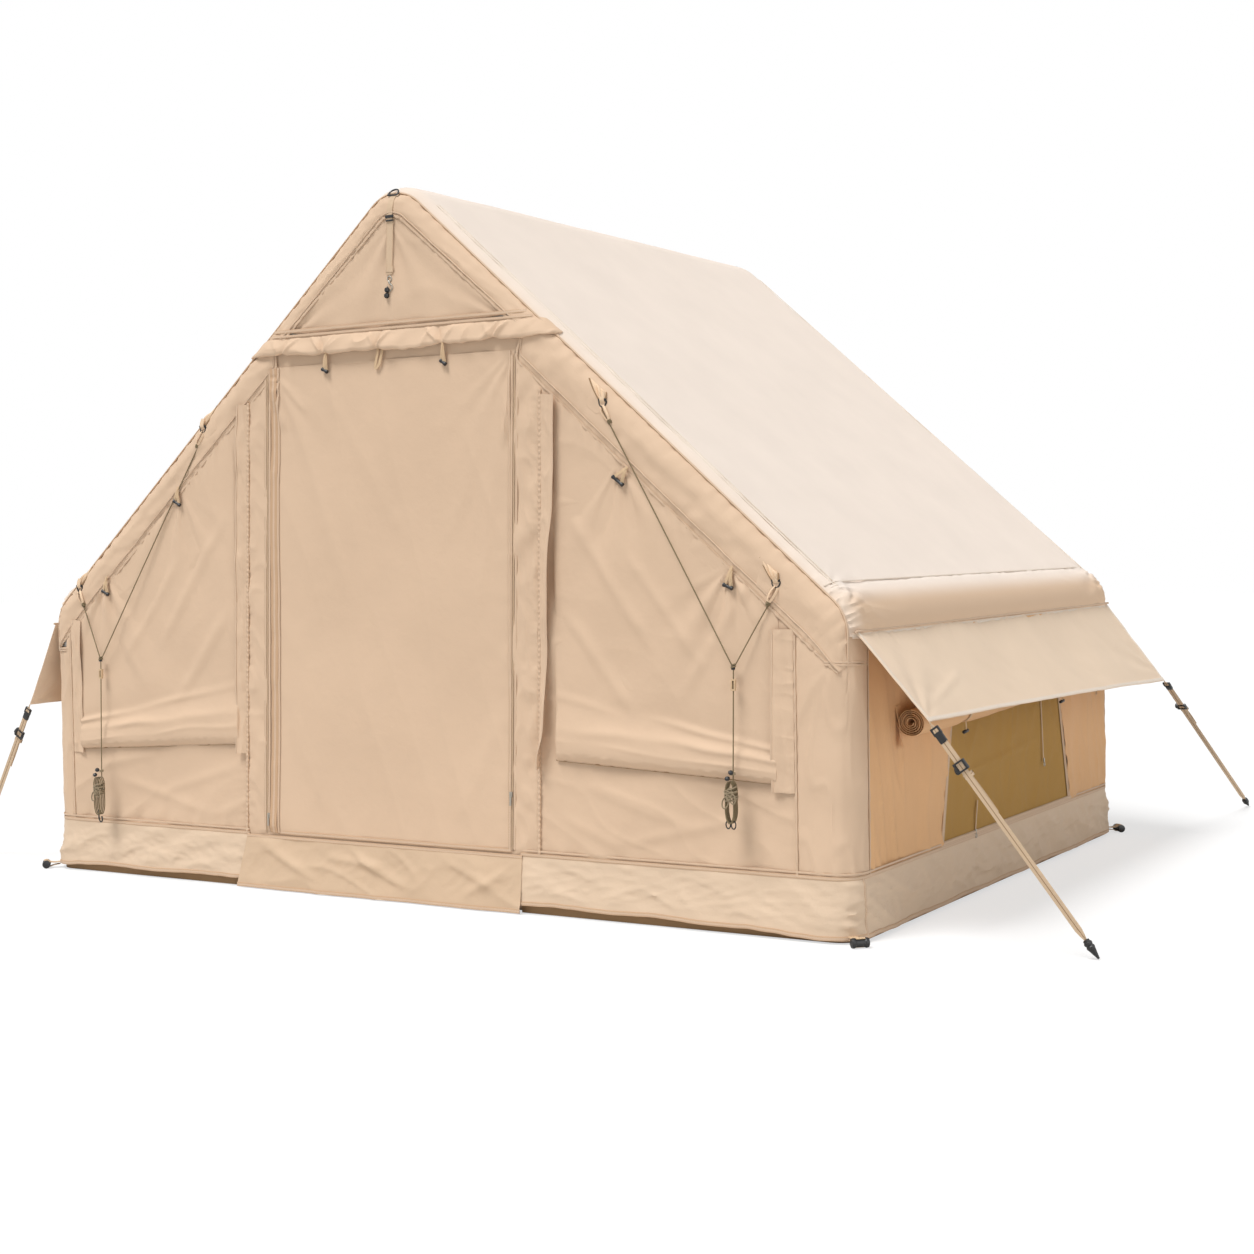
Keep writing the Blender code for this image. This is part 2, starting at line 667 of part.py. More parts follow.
def make_groundsheet():
    """Tray with a low rim, inside the foot of the walls."""
    inset = SKIN + GAP
    bm = bmesh.new()
    loops = []
    inner = inset + TRAY_WALL
    for shrink, z in ((inset, 0), (inset, TRAY_RIM), (inner, TRAY_RIM), (inner, TRAY_WALL)):
        half = rounded_path(HALF_WIDTH - shrink, HALF_DEPTH - shrink, EDGE_ROUND - shrink, 0, 0)
        spots = [spot for spot, _ in half[:-1]]
        spots += [(-x, -y) for x, y in spots]
        loops.append([bm.verts.new((x, y, z)) for x, y in spots])
    for one, two in zip(loops, loops[1:]):
        for k in range(len(one)):
            n = (k + 1) % len(one)
            bm.faces.new([one[k], one[n], two[n], two[k]])
    bm.faces.new(loops[0])
    bm.faces.new(loops[-1])
    add("groundsheet", bm, FLOOR_CLOTH)


def make_skirt(name, key):
    """Half of the mud skirt, from beside the door round to the middle of the rear."""
    side = SIDES[key]
    path = rounded_path(HALF_WIDTH, HALF_DEPTH, EDGE_ROUND, abs(SKIRT_ENDS[key]), GAP / 2)
    rows = []
    for share in (0.0, 0.5, 1.0):
        z = SKIRT_TOP + (SKIRT_HEM - SKIRT_TOP) * share
        out = GAP + SKIN + SKIRT_FLARE * share**1.5
        row = []
        for (x, y), (nx, ny) in path:
            normal = Vector((nx * side, ny, 0))
            row.append((Vector((x * side, y, z)) + normal * out, normal))
        rows.append(row)
    sheet(name, rows, SKIRT_CLOTH)


THRESHOLD_AXIS = Vector((0, FRONT - GAP, SKIRT_TOP))


def make_threshold_flap():
    """Flap below the door, hinged at its top edge."""
    low, high = SKIRT_ENDS["left"] + GAP, SKIRT_ENDS["right"] - GAP
    rows = []
    for share in (0.0, 0.5, 1.0):
        z = SKIRT_TOP * (1 - share) + GAP * share
        y = FRONT - GAP - FLAP_THICKNESS - FLAP_FLARE * share**1.5
        rows.append([(Vector((x, y, z)), Vector((0, -1, 0))) for x in (low, high)])
    sheet("threshold_flap", rows, SKIRT_CLOTH, FLAP_THICKNESS, pivot=THRESHOLD_AXIS)


# Door, hood and zip sliders

DOOR_AXIS = Vector((0, FRONT + SKIN / 2, DOOR_HEAD - HINGE_SLACK - SKIN / 2))
HOOD_AXIS = Vector((0, FRONT - GAP, HOOD_TOP))


def door_edge(key, z, inset=GAP):
    """Point on an edge of the door at height z, inset from the wall's edge."""
    share = (z - DOOR_SILL) / (DOOR_HEAD - DOOR_SILL)
    low, high = abs(DOOR_FOOT_EDGES[key]), abs(DOOR_TOP_EDGES[key])
    return (low + (high - low) * share - inset) * SIDES[key]


def make_door():
    top = DOOR_HEAD - HINGE_SLACK
    outline = [
        (door_edge("left", DOOR_SILL), DOOR_SILL),
        (door_edge("right", DOOR_SILL), DOOR_SILL),
        (door_edge("right", top), top),
        (door_edge("left", top), top),
    ]
    plate("door_panel", outline, WALL_CLOTH, FRONT, pivot=DOOR_AXIS)


def make_hood():
    """Gathered rain hood across the head of the door, from piping to piping, hinged at its top seam."""
    slim = 0.85
    reach = slope_x(HOOD_TOP - HOOD_FALL * slim, HOOD_END_INSET)
    steps = 4 * HOOD_PLEATS
    bm = bmesh.new()
    loops = []
    for k in range(steps + 1):
        share = k / steps
        x = reach * (2 * share - 1)
        top = min(HOOD_TOP, slope_z(x, HOOD_END_INSET))
        bulge = 0.35 + 0.65 * math.sin(math.pi * share) ** 0.5
        depth = HOOD_DEPTH * bulge * (0.88 + 0.12 * math.sin(2 * math.pi * HOOD_PLEATS * share))
        drop = top - HOOD_TOP + HOOD_FALL * (slim + (1 - slim) * math.sin(math.pi * share))
        drop = max(drop, HOOD_END_DROP)
        loop = []
        for turn in [2 * math.pi * m / 8 for m in range(8)]:
            z = top - drop / 2 + drop / 2 * math.sin(turn)
            seat, _ = gable_face(x, z)
            y = seat.y - GAP - ROUND_SEAT * (abs(x) > reach * 0.8) - depth / 2 * (1 - math.cos(turn))
            loop.append(bm.verts.new((x, y, z)))
        loops.append(loop)
    for one, two in zip(loops, loops[1:]):
        for k in range(8):
            n = (k + 1) % 8
            bm.faces.new([one[k], one[n], two[n], two[k]])
    bm.faces.new(loops[0])
    bm.faces.new(loops[-1])
    add("door_hood", bm, WALL_CLOTH, HOOD_AXIS)


def make_zip_slider(name, key):
    """Zip slider and pull on the door's edge; it slides along that edge."""
    z = SLIDER_HEIGHTS[key]
    centre = Vector((door_edge(key, z, SLIDER_BODY[0] / 2 + GAP), FRONT - GAP - SLIDER_BODY[1] / 2, z))
    rise = Vector((door_edge(key, DOOR_HEAD) - door_edge(key, DOOR_SILL), 0, DOOR_HEAD - DOOR_SILL))
    depth = SLIDER_BODY[2] / 2
    ends = [(d, *SLIDER_BODY[:2]) for d in (-depth, depth)]
    body = prism(name, centre, rise, (1, 0, 0), ends, STEEL, centre)
    overlap = SLIDER_PULL[1]
    stations = [(overlap - depth - d, *SLIDER_PULL[:2]) for d in (SLIDER_PULL[2], 0)]
    weld_on(body, prism(name + "_pull", centre, rise, (1, 0, 0), stations, STEEL))


# Front window covers


def make_window_cover(name, key):
    """Cover over a front window, hinged along the sleeve's seam, with its free foot puffed out."""
    top_inset = SLEEVE_BANDS[key] + GAP
    side = SIDES[key]
    near, far = COVER_EDGES[key]
    near_z, far_z = COVER_FEET[key]
    rows = []
    for down in (0.0, 0.35, 0.66, 0.74, 0.80, 0.86, 0.91, 0.95, 0.98, 1.0):
        puff = COVER_PUFF * math.sin(math.pi * min(max((down - 0.66) / 0.34, 0.0), 1.0)) ** 1.5
        row = []
        for k in range(7):
            share = k / 6
            x = near + (far - near) * share
            top, foot = slope_z(x, top_inset), near_z + (far_z - near_z) * share
            y = FRONT - GAP - SKIN - puff * (1 - 0.5 * abs(2 * share - 1) ** 3)
            row.append((Vector((x * side, y, top + (foot - top) * down)), Vector((0, -1, 0))))
        rows.append(row)
    middle = (near + far) / 2
    pivot = (middle * side, FRONT - GAP, slope_z(middle, top_inset))
    sheet(name, rows, WALL_CLOTH, pivot=pivot)


# Rolled side window covers


def make_side_roll(name, key):
    """Window cover rolled up under the eave: a spiral of sheet whose tail runs up the wall."""
    side = SIDES[key]
    pitch = (ROLL_RADIUS - ROLL_CORE - ROLL_SHEET) / ROLL_TURNS
    steps = int(ROLL_TURNS * 20)
    spiral = []
    for k in range(steps + 1):
        turn = math.pi + 2 * math.pi * ROLL_TURNS * (1 - k / steps)
        radius = ROLL_CORE + pitch * ROLL_TURNS * k / steps
        spiral.append((radius, turn))
    inner = [(r * math.cos(t), r * math.sin(t)) for r, t in spiral]
    outer = [((r + ROLL_SHEET) * math.cos(t), (r + ROLL_SHEET) * math.sin(t)) for r, t in spiral]
    inner.append((inner[-1][0], ROLL_TAIL))
    outer.append((outer[-1][0], ROLL_TAIL))
    print(f"{name}: least gap between turns {(pitch - ROLL_SHEET) * 1000:.2f} mm")
    outline = outer + inner[::-1]
    middle_x = HALF_WIDTH + GAP + ROLL_RADIUS
    bm = bmesh.new()
    loops = []
    for y, drop in zip(ROLL_ENDS_Y, ROLL_DROPS[key]):
        z = AWNING_SEAM_Z - drop
        loops.append([bm.verts.new(((middle_x + a) * side, y, z + b)) for a, b in outline])
    for loop in loops:
        for k in range(len(outer) - 1):
            bm.faces.new([loop[k], loop[k + 1], loop[-k - 2], loop[-k - 1]])
    for k in range(len(outline)):
        n = (k + 1) % len(outline)
        bm.faces.new([loops[0][k], loops[0][n], loops[1][n], loops[1][k]])
    add(name, bm, WALL_CLOTH)


# Awnings and their guy straps


def awning_axis(side):
    return Vector(((HALF_WIDTH + AWNING_SEAT) * side, 0, AWNING_SEAM_Z))


def awning_corner(key, end):
    """Free corner of an awning."""
    reach, drop = AWNING_CORNERS[key][0 if end < 0 else 1]
    return awning_axis(SIDES[key]) + Vector((reach * SIDES[key], AWNING_HALF_LENGTHS[1] * end, -drop))


def make_awning(name, key):
    side = SIDES[key]
    seam = awning_axis(side)
    front, rear = awning_corner(key, -1), awning_corner(key, 1)
    rows = []
    for share in (0.0, 0.35, 0.7, 1.0):
        row = []
        for k in range(13):
            along = 2 * k / 12 - 1
            edge = front + (rear - front) * (along + 1) / 2
            out = Vector((edge.x - seam.x, 0, edge.z - seam.z))
            normal = Vector((abs(out.z) * side, 0, abs(out.x))).normalized()
            reach = share * (1 - AWNING_BOW * (1 - along**2) * share)
            half_length = AWNING_HALF_LENGTHS[0] * (1 - share) + AWNING_HALF_LENGTHS[1] * share
            point = Vector((seam.x, half_length * along, seam.z)) + out * reach + normal * SKIN / 2
            point.z -= AWNING_SAG * math.sin(math.pi * share) * (1 - along**2)
            row.append((point, normal))
        rows.append(row)
    sheet(name, rows, ROOF_CLOTH, pivot=seam)


def make_strap(key, where):
    """Guy strap of an awning corner, its ladder lock and its ground peg."""
    side, end = SIDES[key], ENDS[where]
    run_x, run_y = STRAP_RUNS[where]
    corner = awning_corner(key, end)
    ground = corner + Vector((run_x * side, run_y, 0))
    ground.z = PEG_TIP + GAP
    axis = (ground - corner).normalized()
    length = (ground - corner).length
    across = (1, 0, 0)
    tag = f"{where}_{key}"
    neck, neck_end, shoulder = STRAP_NECK
    foot = length - PEG_LENGTH - GAP
    widths = [(STRAP_TAPER, neck), (neck_end, neck), (shoulder, STRAP_WIDTH), (foot, STRAP_WIDTH)]
    stations = [(STRAP_START, *STRAP_TIP)]
    stations += [(distance, width, STRAP_THICKNESS) for distance, width in widths]
    prism("awning_strap_" + tag, corner, axis, across, stations, WEBBING, pivot=corner)
    lock = corner + axis * length * LOCK_AT
    slot = (STRAP_WIDTH + 2 * SLOT_PLAY, STRAP_THICKNESS + 2 * SLOT_PLAY)
    slotted("strap_lock_" + tag, lock, axis, across, LOCK_SIZE, BLACK_PLASTIC, slot, pivot=lock)
    profile = ((0, PEG_RADIUS * 0.75), (0.012, PEG_RADIUS), (0.026, PEG_RADIUS * 0.9), (PEG_LENGTH, PEG_TIP))
    top = corner + axis * (length - PEG_LENGTH)
    turned("ground_peg_" + tag, top, axis, profile, BLACK_PLASTIC, sides=12, hint=across, pivot=corner)


# Stowed guy lines on the front gable


def anchor_spots(key):
    """X and Z of a side's upper and lower guy anchor."""
    return [(x, slope_z(x, inset)) for x, inset in GUY_ANCHORS[key]]


def anchor_ring(spot):
    """Centre of an anchor's ring, clear of the gable below it."""
    x, z = spot
    low, _ = gable_face(x, z - 2.2 * RING_RADIUS)
    return Vector((x, low.y - GAP - RING_WIRE - ROUND_SEAT, z - RING_RADIUS * 0.6))


def make_guy_anchor(name, spot, key):
    """Webbing tab sewn on at the piping, with the ring that holds the guy line."""
    x, z = spot
    lean = Vector((-TAB_LEAN * SIDES[key], 0, 1)).normalized()
    rows = []
    for k in range(5):
        middle = Vector((x, 0, z)) + lean * TAB_LENGTH * k / 4
        lift = GAP + ROUND_SEAT + TAB_THICKNESS + TAB_LIFT * (1 - k / 4) ** 2
        row = []
        for half in (-TAB_WIDTH / 2, TAB_WIDTH / 2):
            seat, normal = gable_face(middle.x + half, middle.z)
            row.append((seat + normal * lift, normal))
        rows.append(row)
    tab = sheet(name, rows, WEBBING, TAB_THICKNESS)
    centre = anchor_ring(spot)
    hoop = ring(name + "_ring", centre, (0, 1, 0), (0, 0, 1), RING_RADIUS, RING_WIRE, BLACK_PLASTIC)
    weld_on(tab, hoop)


def guy_points(key):
    """Ends and junction of a bridle, clear of the window cover."""
    hang = Vector((0, 0, RING_RADIUS + RING_WIRE + 2 * GAP))
    ends = [anchor_ring(spot) - hang for spot in anchor_spots(key)]
    x, drop = GUY_JUNCTIONS[key]
    junction = Vector((x, FRONT - GUY_STAND_OFF, anchor_spots(key)[1][1] - drop))
    return ends[0], junction, ends[1]


def make_guy_line(key):
    upper, junction, lower = guy_points(key)
    below = Vector((0, 0, CORD_TIP))
    pivot = (upper + lower) / 2 - below
    legs = []
    for end in (upper, lower):
        straight = end - Vector((0, 0, GUY_CORD))
        turn_in = junction + (straight - junction).normalized() * GUY_CORD * 3
        fall = smooth([straight - Vector((0, 0, GUY_CORD)), (straight + turn_in) / 2, turn_in], 6)
        legs.append([end, end - below, straight, *fall])
    bridle = legs[0] + [junction - Vector((0, 0, GUY_CORD / 4))] + legs[1][::-1]
    cord("guy_bridle_" + key, bridle, GUY_CORD, CORD, pivot=pivot, tip=CORD_TIP_SHARE)

    top_z, foot_z = [junction.z - drop for drop in HANK_DROPS[key]]
    start = junction - Vector((0, 0, GUY_CORD * 0.75 + GAP))
    hang_y = FRONT - HANK_STAND_OFF
    loops = hank_loops(Vector((start.x, hang_y, 0)), top_z, foot_z)
    entry = loops[0] + Vector((0, 0, GUY_CORD * 3))
    steps = 24
    points = [start + (entry - start) * k / steps for k in range(steps)] + [entry] + loops
    cord("guy_hank_" + key, points, GUY_CORD, CORD, resolution=1, pivot=pivot)
    gap = least_gap(points, GUY_CORD)
    print(f"guy_hank_{key}: least gap to itself {gap * 1000:.2f} mm")

    slider_z = junction.z - GUY_SLIDER_DROP
    share = (start.z - slider_z) / (start.z - entry.z)
    centre = start + (entry - start) * share
    axis = (start - entry).normalized()
    hole = GUY_CORD + CORD_PLAY
    slider = "guy_slider_" + key
    slotted(slider, centre, axis, (1, 0, 0), GUY_SLIDER_SIZE, WEBBING, (hole, hole), pivot=centre)


def hank_loops(middle, top_z, foot_z):
    """Loops of a small hank, one behind the other, drawn in a little at the waist."""
    height = top_z - foot_z
    points = []
    for k in range(HANK_LOOPS * LOOP_POINTS + 1):
        turn = 2 * math.pi * k / LOOP_POINTS
        depth = (k / LOOP_POINTS - HANK_LOOPS / 2) * (GUY_CORD + 0.0028)
        half = HANK_WIDTH / 2 * (0.72 + 0.28 * abs(math.cos(turn)))
        spread = 1 - 0.10 * (k // LOOP_POINTS) / HANK_LOOPS
        x = middle.x + half * math.sin(turn) * spread
        z = (top_z + foot_z) / 2 + height / 2 * math.cos(turn)
        points.append(Vector((x, middle.y - depth, z)))
    return points


# Corner pegs, apex webbing, lamp hook and valve


def make_corner_peg(name, side, end):
    """Toggle peg lying at a corner of the footprint, with the webbing tongue that holds it to the skirt."""
    diagonal = Vector((side, end, 0)).normalized()
    corner = Vector(((HALF_WIDTH - EDGE_ROUND) * side, (HALF_DEPTH - EDGE_ROUND) * end, 0))
    face = EDGE_ROUND + GAP + SKIN + SKIRT_FLARE
    tongue_start = corner + diagonal * (face + GAP * 2)
    tongue_end = tongue_start + diagonal * CORNER_PEG_REACH
    lift = Vector((0, 0, CORNER_PEG_RADIUS))
    across = Vector((-diagonal.y, diagonal.x, 0))
    base = tongue_end + lift - across * CORNER_PEG_LENGTH / 2
    edge = CORNER_PEG_RADIUS * 0.7
    rim = 0.004
    far = CORNER_PEG_LENGTH - rim
    profile = ((0, edge), (rim, CORNER_PEG_RADIUS), (far, CORNER_PEG_RADIUS), (CORNER_PEG_LENGTH, edge))
    peg = turned(name, base, across, profile, BLACK_PLASTIC, sides=16, hint=(0, 0, 1))
    stations = [(reach, TONGUE_WIDTH, TONGUE_THICKNESS) for reach in (0, CORNER_PEG_REACH)]
    weld_on(peg, prism(name + "_tongue", tongue_start + lift, diagonal, across, stations, WEBBING))


def make_apex():
    """Webbing down the gable from the apex, and the hook that swings from its foot."""
    rows = []
    for z in (APEX_TOP_Z, RIDGE_HEIGHT - EDGE_ROUND, APEX_FOOT_Z):
        seat, normal = gable_face(0, z)
        spot = seat + normal * (GAP + APEX_WEB_THICKNESS)
        half = Vector((APEX_WEB_WIDTH / 2, 0, 0))
        rows.append([(spot - half, normal), (spot + half, normal)])
    sheet("apex_webbing", rows, WEBBING, APEX_WEB_THICKNESS)
    axis = Vector((0, FRONT - GAP - RING_WIRE, APEX_FOOT_Z - GAP))
    wire = RING_WIRE
    middle = axis + Vector((0, 0, -HOOK_RING - wire))
    hook = ring("lamp_hook", middle, (0, 1, 0), (0, 0, 1), HOOK_RING, wire, STEEL, pivot=axis)
    bead_top = Vector((0, FRONT - 2 * GAP - BEAD_RADIUS, middle.z - HOOK_RING + BEAD_RISE))
    waist = ((0, 0.004), (0.006, BEAD_RADIUS), (0.020, BEAD_RADIUS))
    profile = (*waist, (0.024, 0.006), (0.028, BEAD_RADIUS), (0.042, 0.007))
    beads = turned("lamp_hook_beads", bead_top, (0, 0, -1), profile, BLACK_PLASTIC, sides=12, hint=(1, 0, 0))
    weld_on(hook, beads)


def make_valve():
    """Inflation valve through the rear sleeve, and its screw cap."""
    base = Vector((HALF_WIDTH - VALVE_INSET, HALF_DEPTH + GAP, VALVE_HEIGHT))
    out = (0, 1, 0)
    body = ((0, VALVE_FLANGE), (0.004, VALVE_FLANGE), (0.004, VALVE_NECK), (VALVE_RISE, VALVE_NECK))
    turned("inflation_valve", base, out, body, BLACK_PLASTIC, sides=24)
    cap_base = base + Vector((0, VALVE_RISE + GAP, 0))
    cap = ((0, CAP_RADIUS), (CAP_DEPTH * 0.75, CAP_RADIUS), (CAP_DEPTH, CAP_RADIUS * 0.85))
    turned("valve_cap", cap_base, out, cap, BLACK_PLASTIC, sides=24, pivot=cap_base)


make_roof()
make_gable_panel()
make_rear_wall()
make_groundsheet()
make_threshold_flap()
make_door()
make_hood()
make_beam("ridge_tube", 0)
make_apex()
make_valve()
for where, end in ENDS.items():
    make_arch_tube(f"{where}_arch_tube", end)
    make_sleeve(f"{where}_arch_sleeve", end)
for key, side in SIDES.items():
    make_beam(f"eave_tube_{key}", (EAVE_START + EAVE_END) / 2 * side)
    make_side_wall(f"side_wall_{key}", side)
    make_side_mesh(f"side_mesh_{key}", side)
    make_side_roll(f"side_roll_{key}", key)
    make_front_wall(f"front_wall_{key}", key)
    make_skirt(f"skirt_{key}", key)
    make_zip_slider(f"zip_slider_{key}", key)
    make_window_cover(f"window_cover_{key}", key)
    make_awning(f"awning_{key}", key)
    make_guy_line(key)
    for place, spot in zip(("upper", "lower"), anchor_spots(key)):
        make_guy_anchor(f"guy_anchor_{place}_{key}", spot, key)
    for where, end in ENDS.items():
        make_strap(key, where)
        make_corner_peg(f"corner_peg_{where}_{key}", side, end)
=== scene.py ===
"""Dresses the inflatable tent's frame: sewn cloth, seams, zips, cords and fittings, seen by the photograph's camera.

Metres, +Z up, in the frame of the CAD model: the door gable faces -Y and the ridge runs along Y.
"""

import math

import bmesh
import bpy
import numpy as np
from mathutils import Matrix, Vector


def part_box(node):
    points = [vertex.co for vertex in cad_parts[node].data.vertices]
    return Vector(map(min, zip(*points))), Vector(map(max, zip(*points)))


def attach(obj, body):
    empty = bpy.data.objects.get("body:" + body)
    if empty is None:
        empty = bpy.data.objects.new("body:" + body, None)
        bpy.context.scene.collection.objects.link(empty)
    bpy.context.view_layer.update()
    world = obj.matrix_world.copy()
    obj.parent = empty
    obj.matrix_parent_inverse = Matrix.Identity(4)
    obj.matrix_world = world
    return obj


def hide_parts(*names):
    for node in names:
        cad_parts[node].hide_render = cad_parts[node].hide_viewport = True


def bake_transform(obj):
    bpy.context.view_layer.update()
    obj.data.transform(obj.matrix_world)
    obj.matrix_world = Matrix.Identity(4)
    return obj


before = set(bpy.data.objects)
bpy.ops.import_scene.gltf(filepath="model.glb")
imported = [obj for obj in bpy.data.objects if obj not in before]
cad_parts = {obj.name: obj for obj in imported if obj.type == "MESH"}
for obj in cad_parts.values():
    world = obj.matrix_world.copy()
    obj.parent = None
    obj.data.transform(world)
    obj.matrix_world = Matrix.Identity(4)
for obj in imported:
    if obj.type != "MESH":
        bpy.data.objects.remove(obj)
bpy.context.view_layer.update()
bpy.context.scene.view_settings.view_transform = "Standard"

# Hull, as in the part's source
HALF_WIDTH, HALF_DEPTH, RIDGE_HEIGHT = 1.500, 1.130, 2.175
PITCH = math.radians(41.54)
ROUND, EDGE = 0.150, 0.075
SIN, COS, TAN = math.sin(PITCH), math.cos(PITCH), math.tan(PITCH)
GAP = 0.0003
FRONT = -HALF_DEPTH
EDGE_LINE = HALF_DEPTH - EDGE
RIDGE_ARC = ROUND * PITCH
SLOPE = (HALF_WIDTH - ROUND) / COS
EAVE_START = RIDGE_ARC + SLOPE
EAVE_END = EAVE_START + ROUND * (math.pi / 2 - PITCH)
RIDGE_Z = RIDGE_HEIGHT - ROUND
EAVE_Z = RIDGE_Z - SLOPE * SIN
PEAK_Z = RIDGE_HEIGHT + ROUND * (1 / COS - 1)
PIPING_W = EDGE_LINE + EDGE * math.pi / 4
FLAT_W = EDGE_LINE + EDGE * math.pi / 2
SEAM_Z = EAVE_Z + 0.007
SIDES = {"left": -1, "right": 1}
ENDS = {"front": -1, "rear": 1}

# Widths of the sleeve on the gable: at the apex, above the hood, and below the hood on each side
BAND_APEX, BAND_HOOD = 0.092, 0.078
BANDS = {"left": 0.128, "right": 0.154}

# X of the seams and edges on the front, as (height, x) at the head and at the foot
LINES = {
    "zip_left": ((1.619, -0.500), (0.193, -0.545)),
    "zip_right": ((1.653, 0.441), (0.348, 0.404)),
    "door_left": ((1.663, -0.454), (0.174, -0.496)),
    "door_right": ((1.669, 0.424), (0.190, 0.390)),
    "bead_left": ((1.560, -0.581), (0.188, -0.629)),
    "bead_right": ((1.538, 0.526), (0.155, 0.495)),
    "storm_left": ((1.530, -0.620), (0.456, -0.655)),
    "storm_right": ((1.489, 0.580), (0.471, 0.520)),
}


def line_x(key, z):
    (z1, x1), (z0, x0) = LINES[key]
    return x0 + (x1 - x0) * (np.asarray(z) - z0) / (z1 - z0)


# Hull surface


def section(s):
    """X, Z and the outward normal's X and Z of the hull's section at arc length s from the ridge."""
    s = np.asarray(s, float)
    side, a = np.where(s < 0, -1.0, 1.0), np.abs(s)
    turn = np.where(a <= EAVE_START, np.minimum(a / ROUND, PITCH), PITCH + (a - EAVE_START) / ROUND)
    turn = np.minimum(turn, math.pi / 2)
    nx, nz = np.sin(turn), np.cos(turn)
    run = np.clip(a - RIDGE_ARC, 0, SLOPE)
    x = nx * ROUND + run * COS
    z = RIDGE_Z + nz * ROUND - run * SIN - np.clip(a - EAVE_END, 0, None)
    return x * side, z, nx * side, nz


def hull(s, w):
    """Points and normals of the hull: w runs from the middle over the rounded edge and onto the gable."""
    s, w = np.broadcast_arrays(np.asarray(s, float), np.asarray(w, float))
    end, a = np.where(w < 0, -1.0, 1.0), np.abs(w)
    x, z, nx, nz = section(s)
    turn = np.clip((a - EDGE_LINE) / EDGE, 0, math.pi / 2)
    inward = EDGE * (1 - np.cos(turn)) + np.clip(a - FLAT_W, 0, None)
    y = np.where(a <= EDGE_LINE, a, EDGE_LINE + EDGE * np.sin(turn)) * end
    points = np.stack([x - nx * inward, y, z - nz * inward], -1)
    normals = np.stack([nx * np.cos(turn), end * np.sin(turn), nz * np.cos(turn)], -1)
    return points, normals


def gable(x, z, end=-1):
    """Points and normals of a gable at (x, z), rounded where it nears the outline."""
    x, z = np.broadcast_arrays(np.asarray(x, float), np.asarray(z, float))
    side, a = np.where(x < 0, -1.0, 1.0), np.abs(x)
    depth = (PEAK_Z - a * TAN - z) * COS
    ux, uz = np.full(a.shape, SIN), np.full(a.shape, COS)
    for cx, cz, low, high in ((0.0, RIDGE_Z, -1e-9, SIN), (HALF_WIDTH - ROUND, EAVE_Z, SIN, 1.0)):
        r = np.maximum(np.hypot(a - cx, z - cz), 1e-9)
        share = (a - cx) / r
        wedge = (z > cz) & (share >= low) & (share <= high)
        depth = np.where(wedge, ROUND - r, depth)
        ux, uz = np.where(wedge, share, ux), np.where(wedge, (z - cz) / r, uz)
    wall = (z <= EAVE_Z) & (HALF_WIDTH - a < depth)
    depth = np.where(wall, HALF_WIDTH - a, depth)
    ux, uz = np.where(wall, 1.0, ux), np.where(wall, 0.0, uz)
    climb = np.clip(EDGE - depth, 0, EDGE)
    level = np.sqrt(EDGE**2 - climb**2)
    points = np.stack([x, end * (EDGE_LINE + level), z], -1)
    normals = np.stack([ux * side * climb, end * level, uz * climb], -1) / EDGE
    return points, normals


def wall_s(z):
    return EAVE_END + EAVE_Z - z


def slope_z(x, inset):
    return PEAK_Z - inset / COS - np.abs(x) * TAN


def slope_x(z, inset):
    return (PEAK_Z - inset / COS - z) / TAN


def slope_s(z):
    return (PEAK_Z - z) / SIN - ROUND * TAN + RIDGE_ARC


# Relief of cloth


def waves(seed, a, b, size, count=7, stretch=1.0):
    """Soft seeded ripple, about -1 to 1, with waves near that size in metres."""
    rng = np.random.default_rng(seed)
    total = 0
    for _ in range(count):
        turn, k = rng.uniform(0, math.pi), 2 * math.pi / size * rng.uniform(0.55, 1.6)
        total = total + np.sin(k * (a * math.cos(turn) + b * math.sin(turn) * stretch) + rng.uniform(0, 6.3))
    return total / math.sqrt(count) * 0.8


def ridges(seed, a, b, size, count=5, stretch=1.0):
    """Crumpled relief with narrow crests, about 0 to 1."""
    wave = waves(seed, a, b, size * 2, count, stretch)
    return np.clip(1 - np.abs(wave) * 1.6, 0, 1) ** 1.6


def crease(x, z, one, two, width, height, fade=0.25):
    """A soft ridge from one to two, thinning out at both ends."""
    (x0, z0), (x1, z1) = one, two
    length = math.hypot(x1 - x0, z1 - z0)
    dx, dz = (x1 - x0) / length, (z1 - z0) / length
    along = ((x - x0) * dx + (z - z0) * dz) / length
    off = -(x - x0) * dz + (z - z0) * dx
    ends = np.clip(along / fade, 0, 1) * np.clip((1 - along) / fade, 0, 1)
    return height * np.exp(-((off / width) ** 2)) * ends * ends * (3 - 2 * ends)


def fan(x, z, centre, reach, count, height, start, stop):
    """Folds that spread from a point, between two angles in degrees."""
    dx, dz = x - centre[0], z - centre[1]
    r = np.hypot(dx, dz)
    turn = np.degrees(np.arctan2(dz, dx))
    middle, half = (start + stop) / 2, (stop - start) / 2
    off = (turn - middle + 180) % 360 - 180
    inside = np.clip(1.25 - np.abs(off) / half, 0, 1)
    rise = np.clip(r / (0.25 * reach), 0, 1) * np.exp(-((r / reach) ** 1.5))
    return height * rise * inside * np.cos(off / half * math.pi * count)


def pucker(off, along, seed, height, size, reach):
    """Gathers along a seam: off is the distance from it."""
    return height * np.exp(-np.abs(off) / reach) * waves(seed, along, off * 0.35, size, 6)


# Meshes


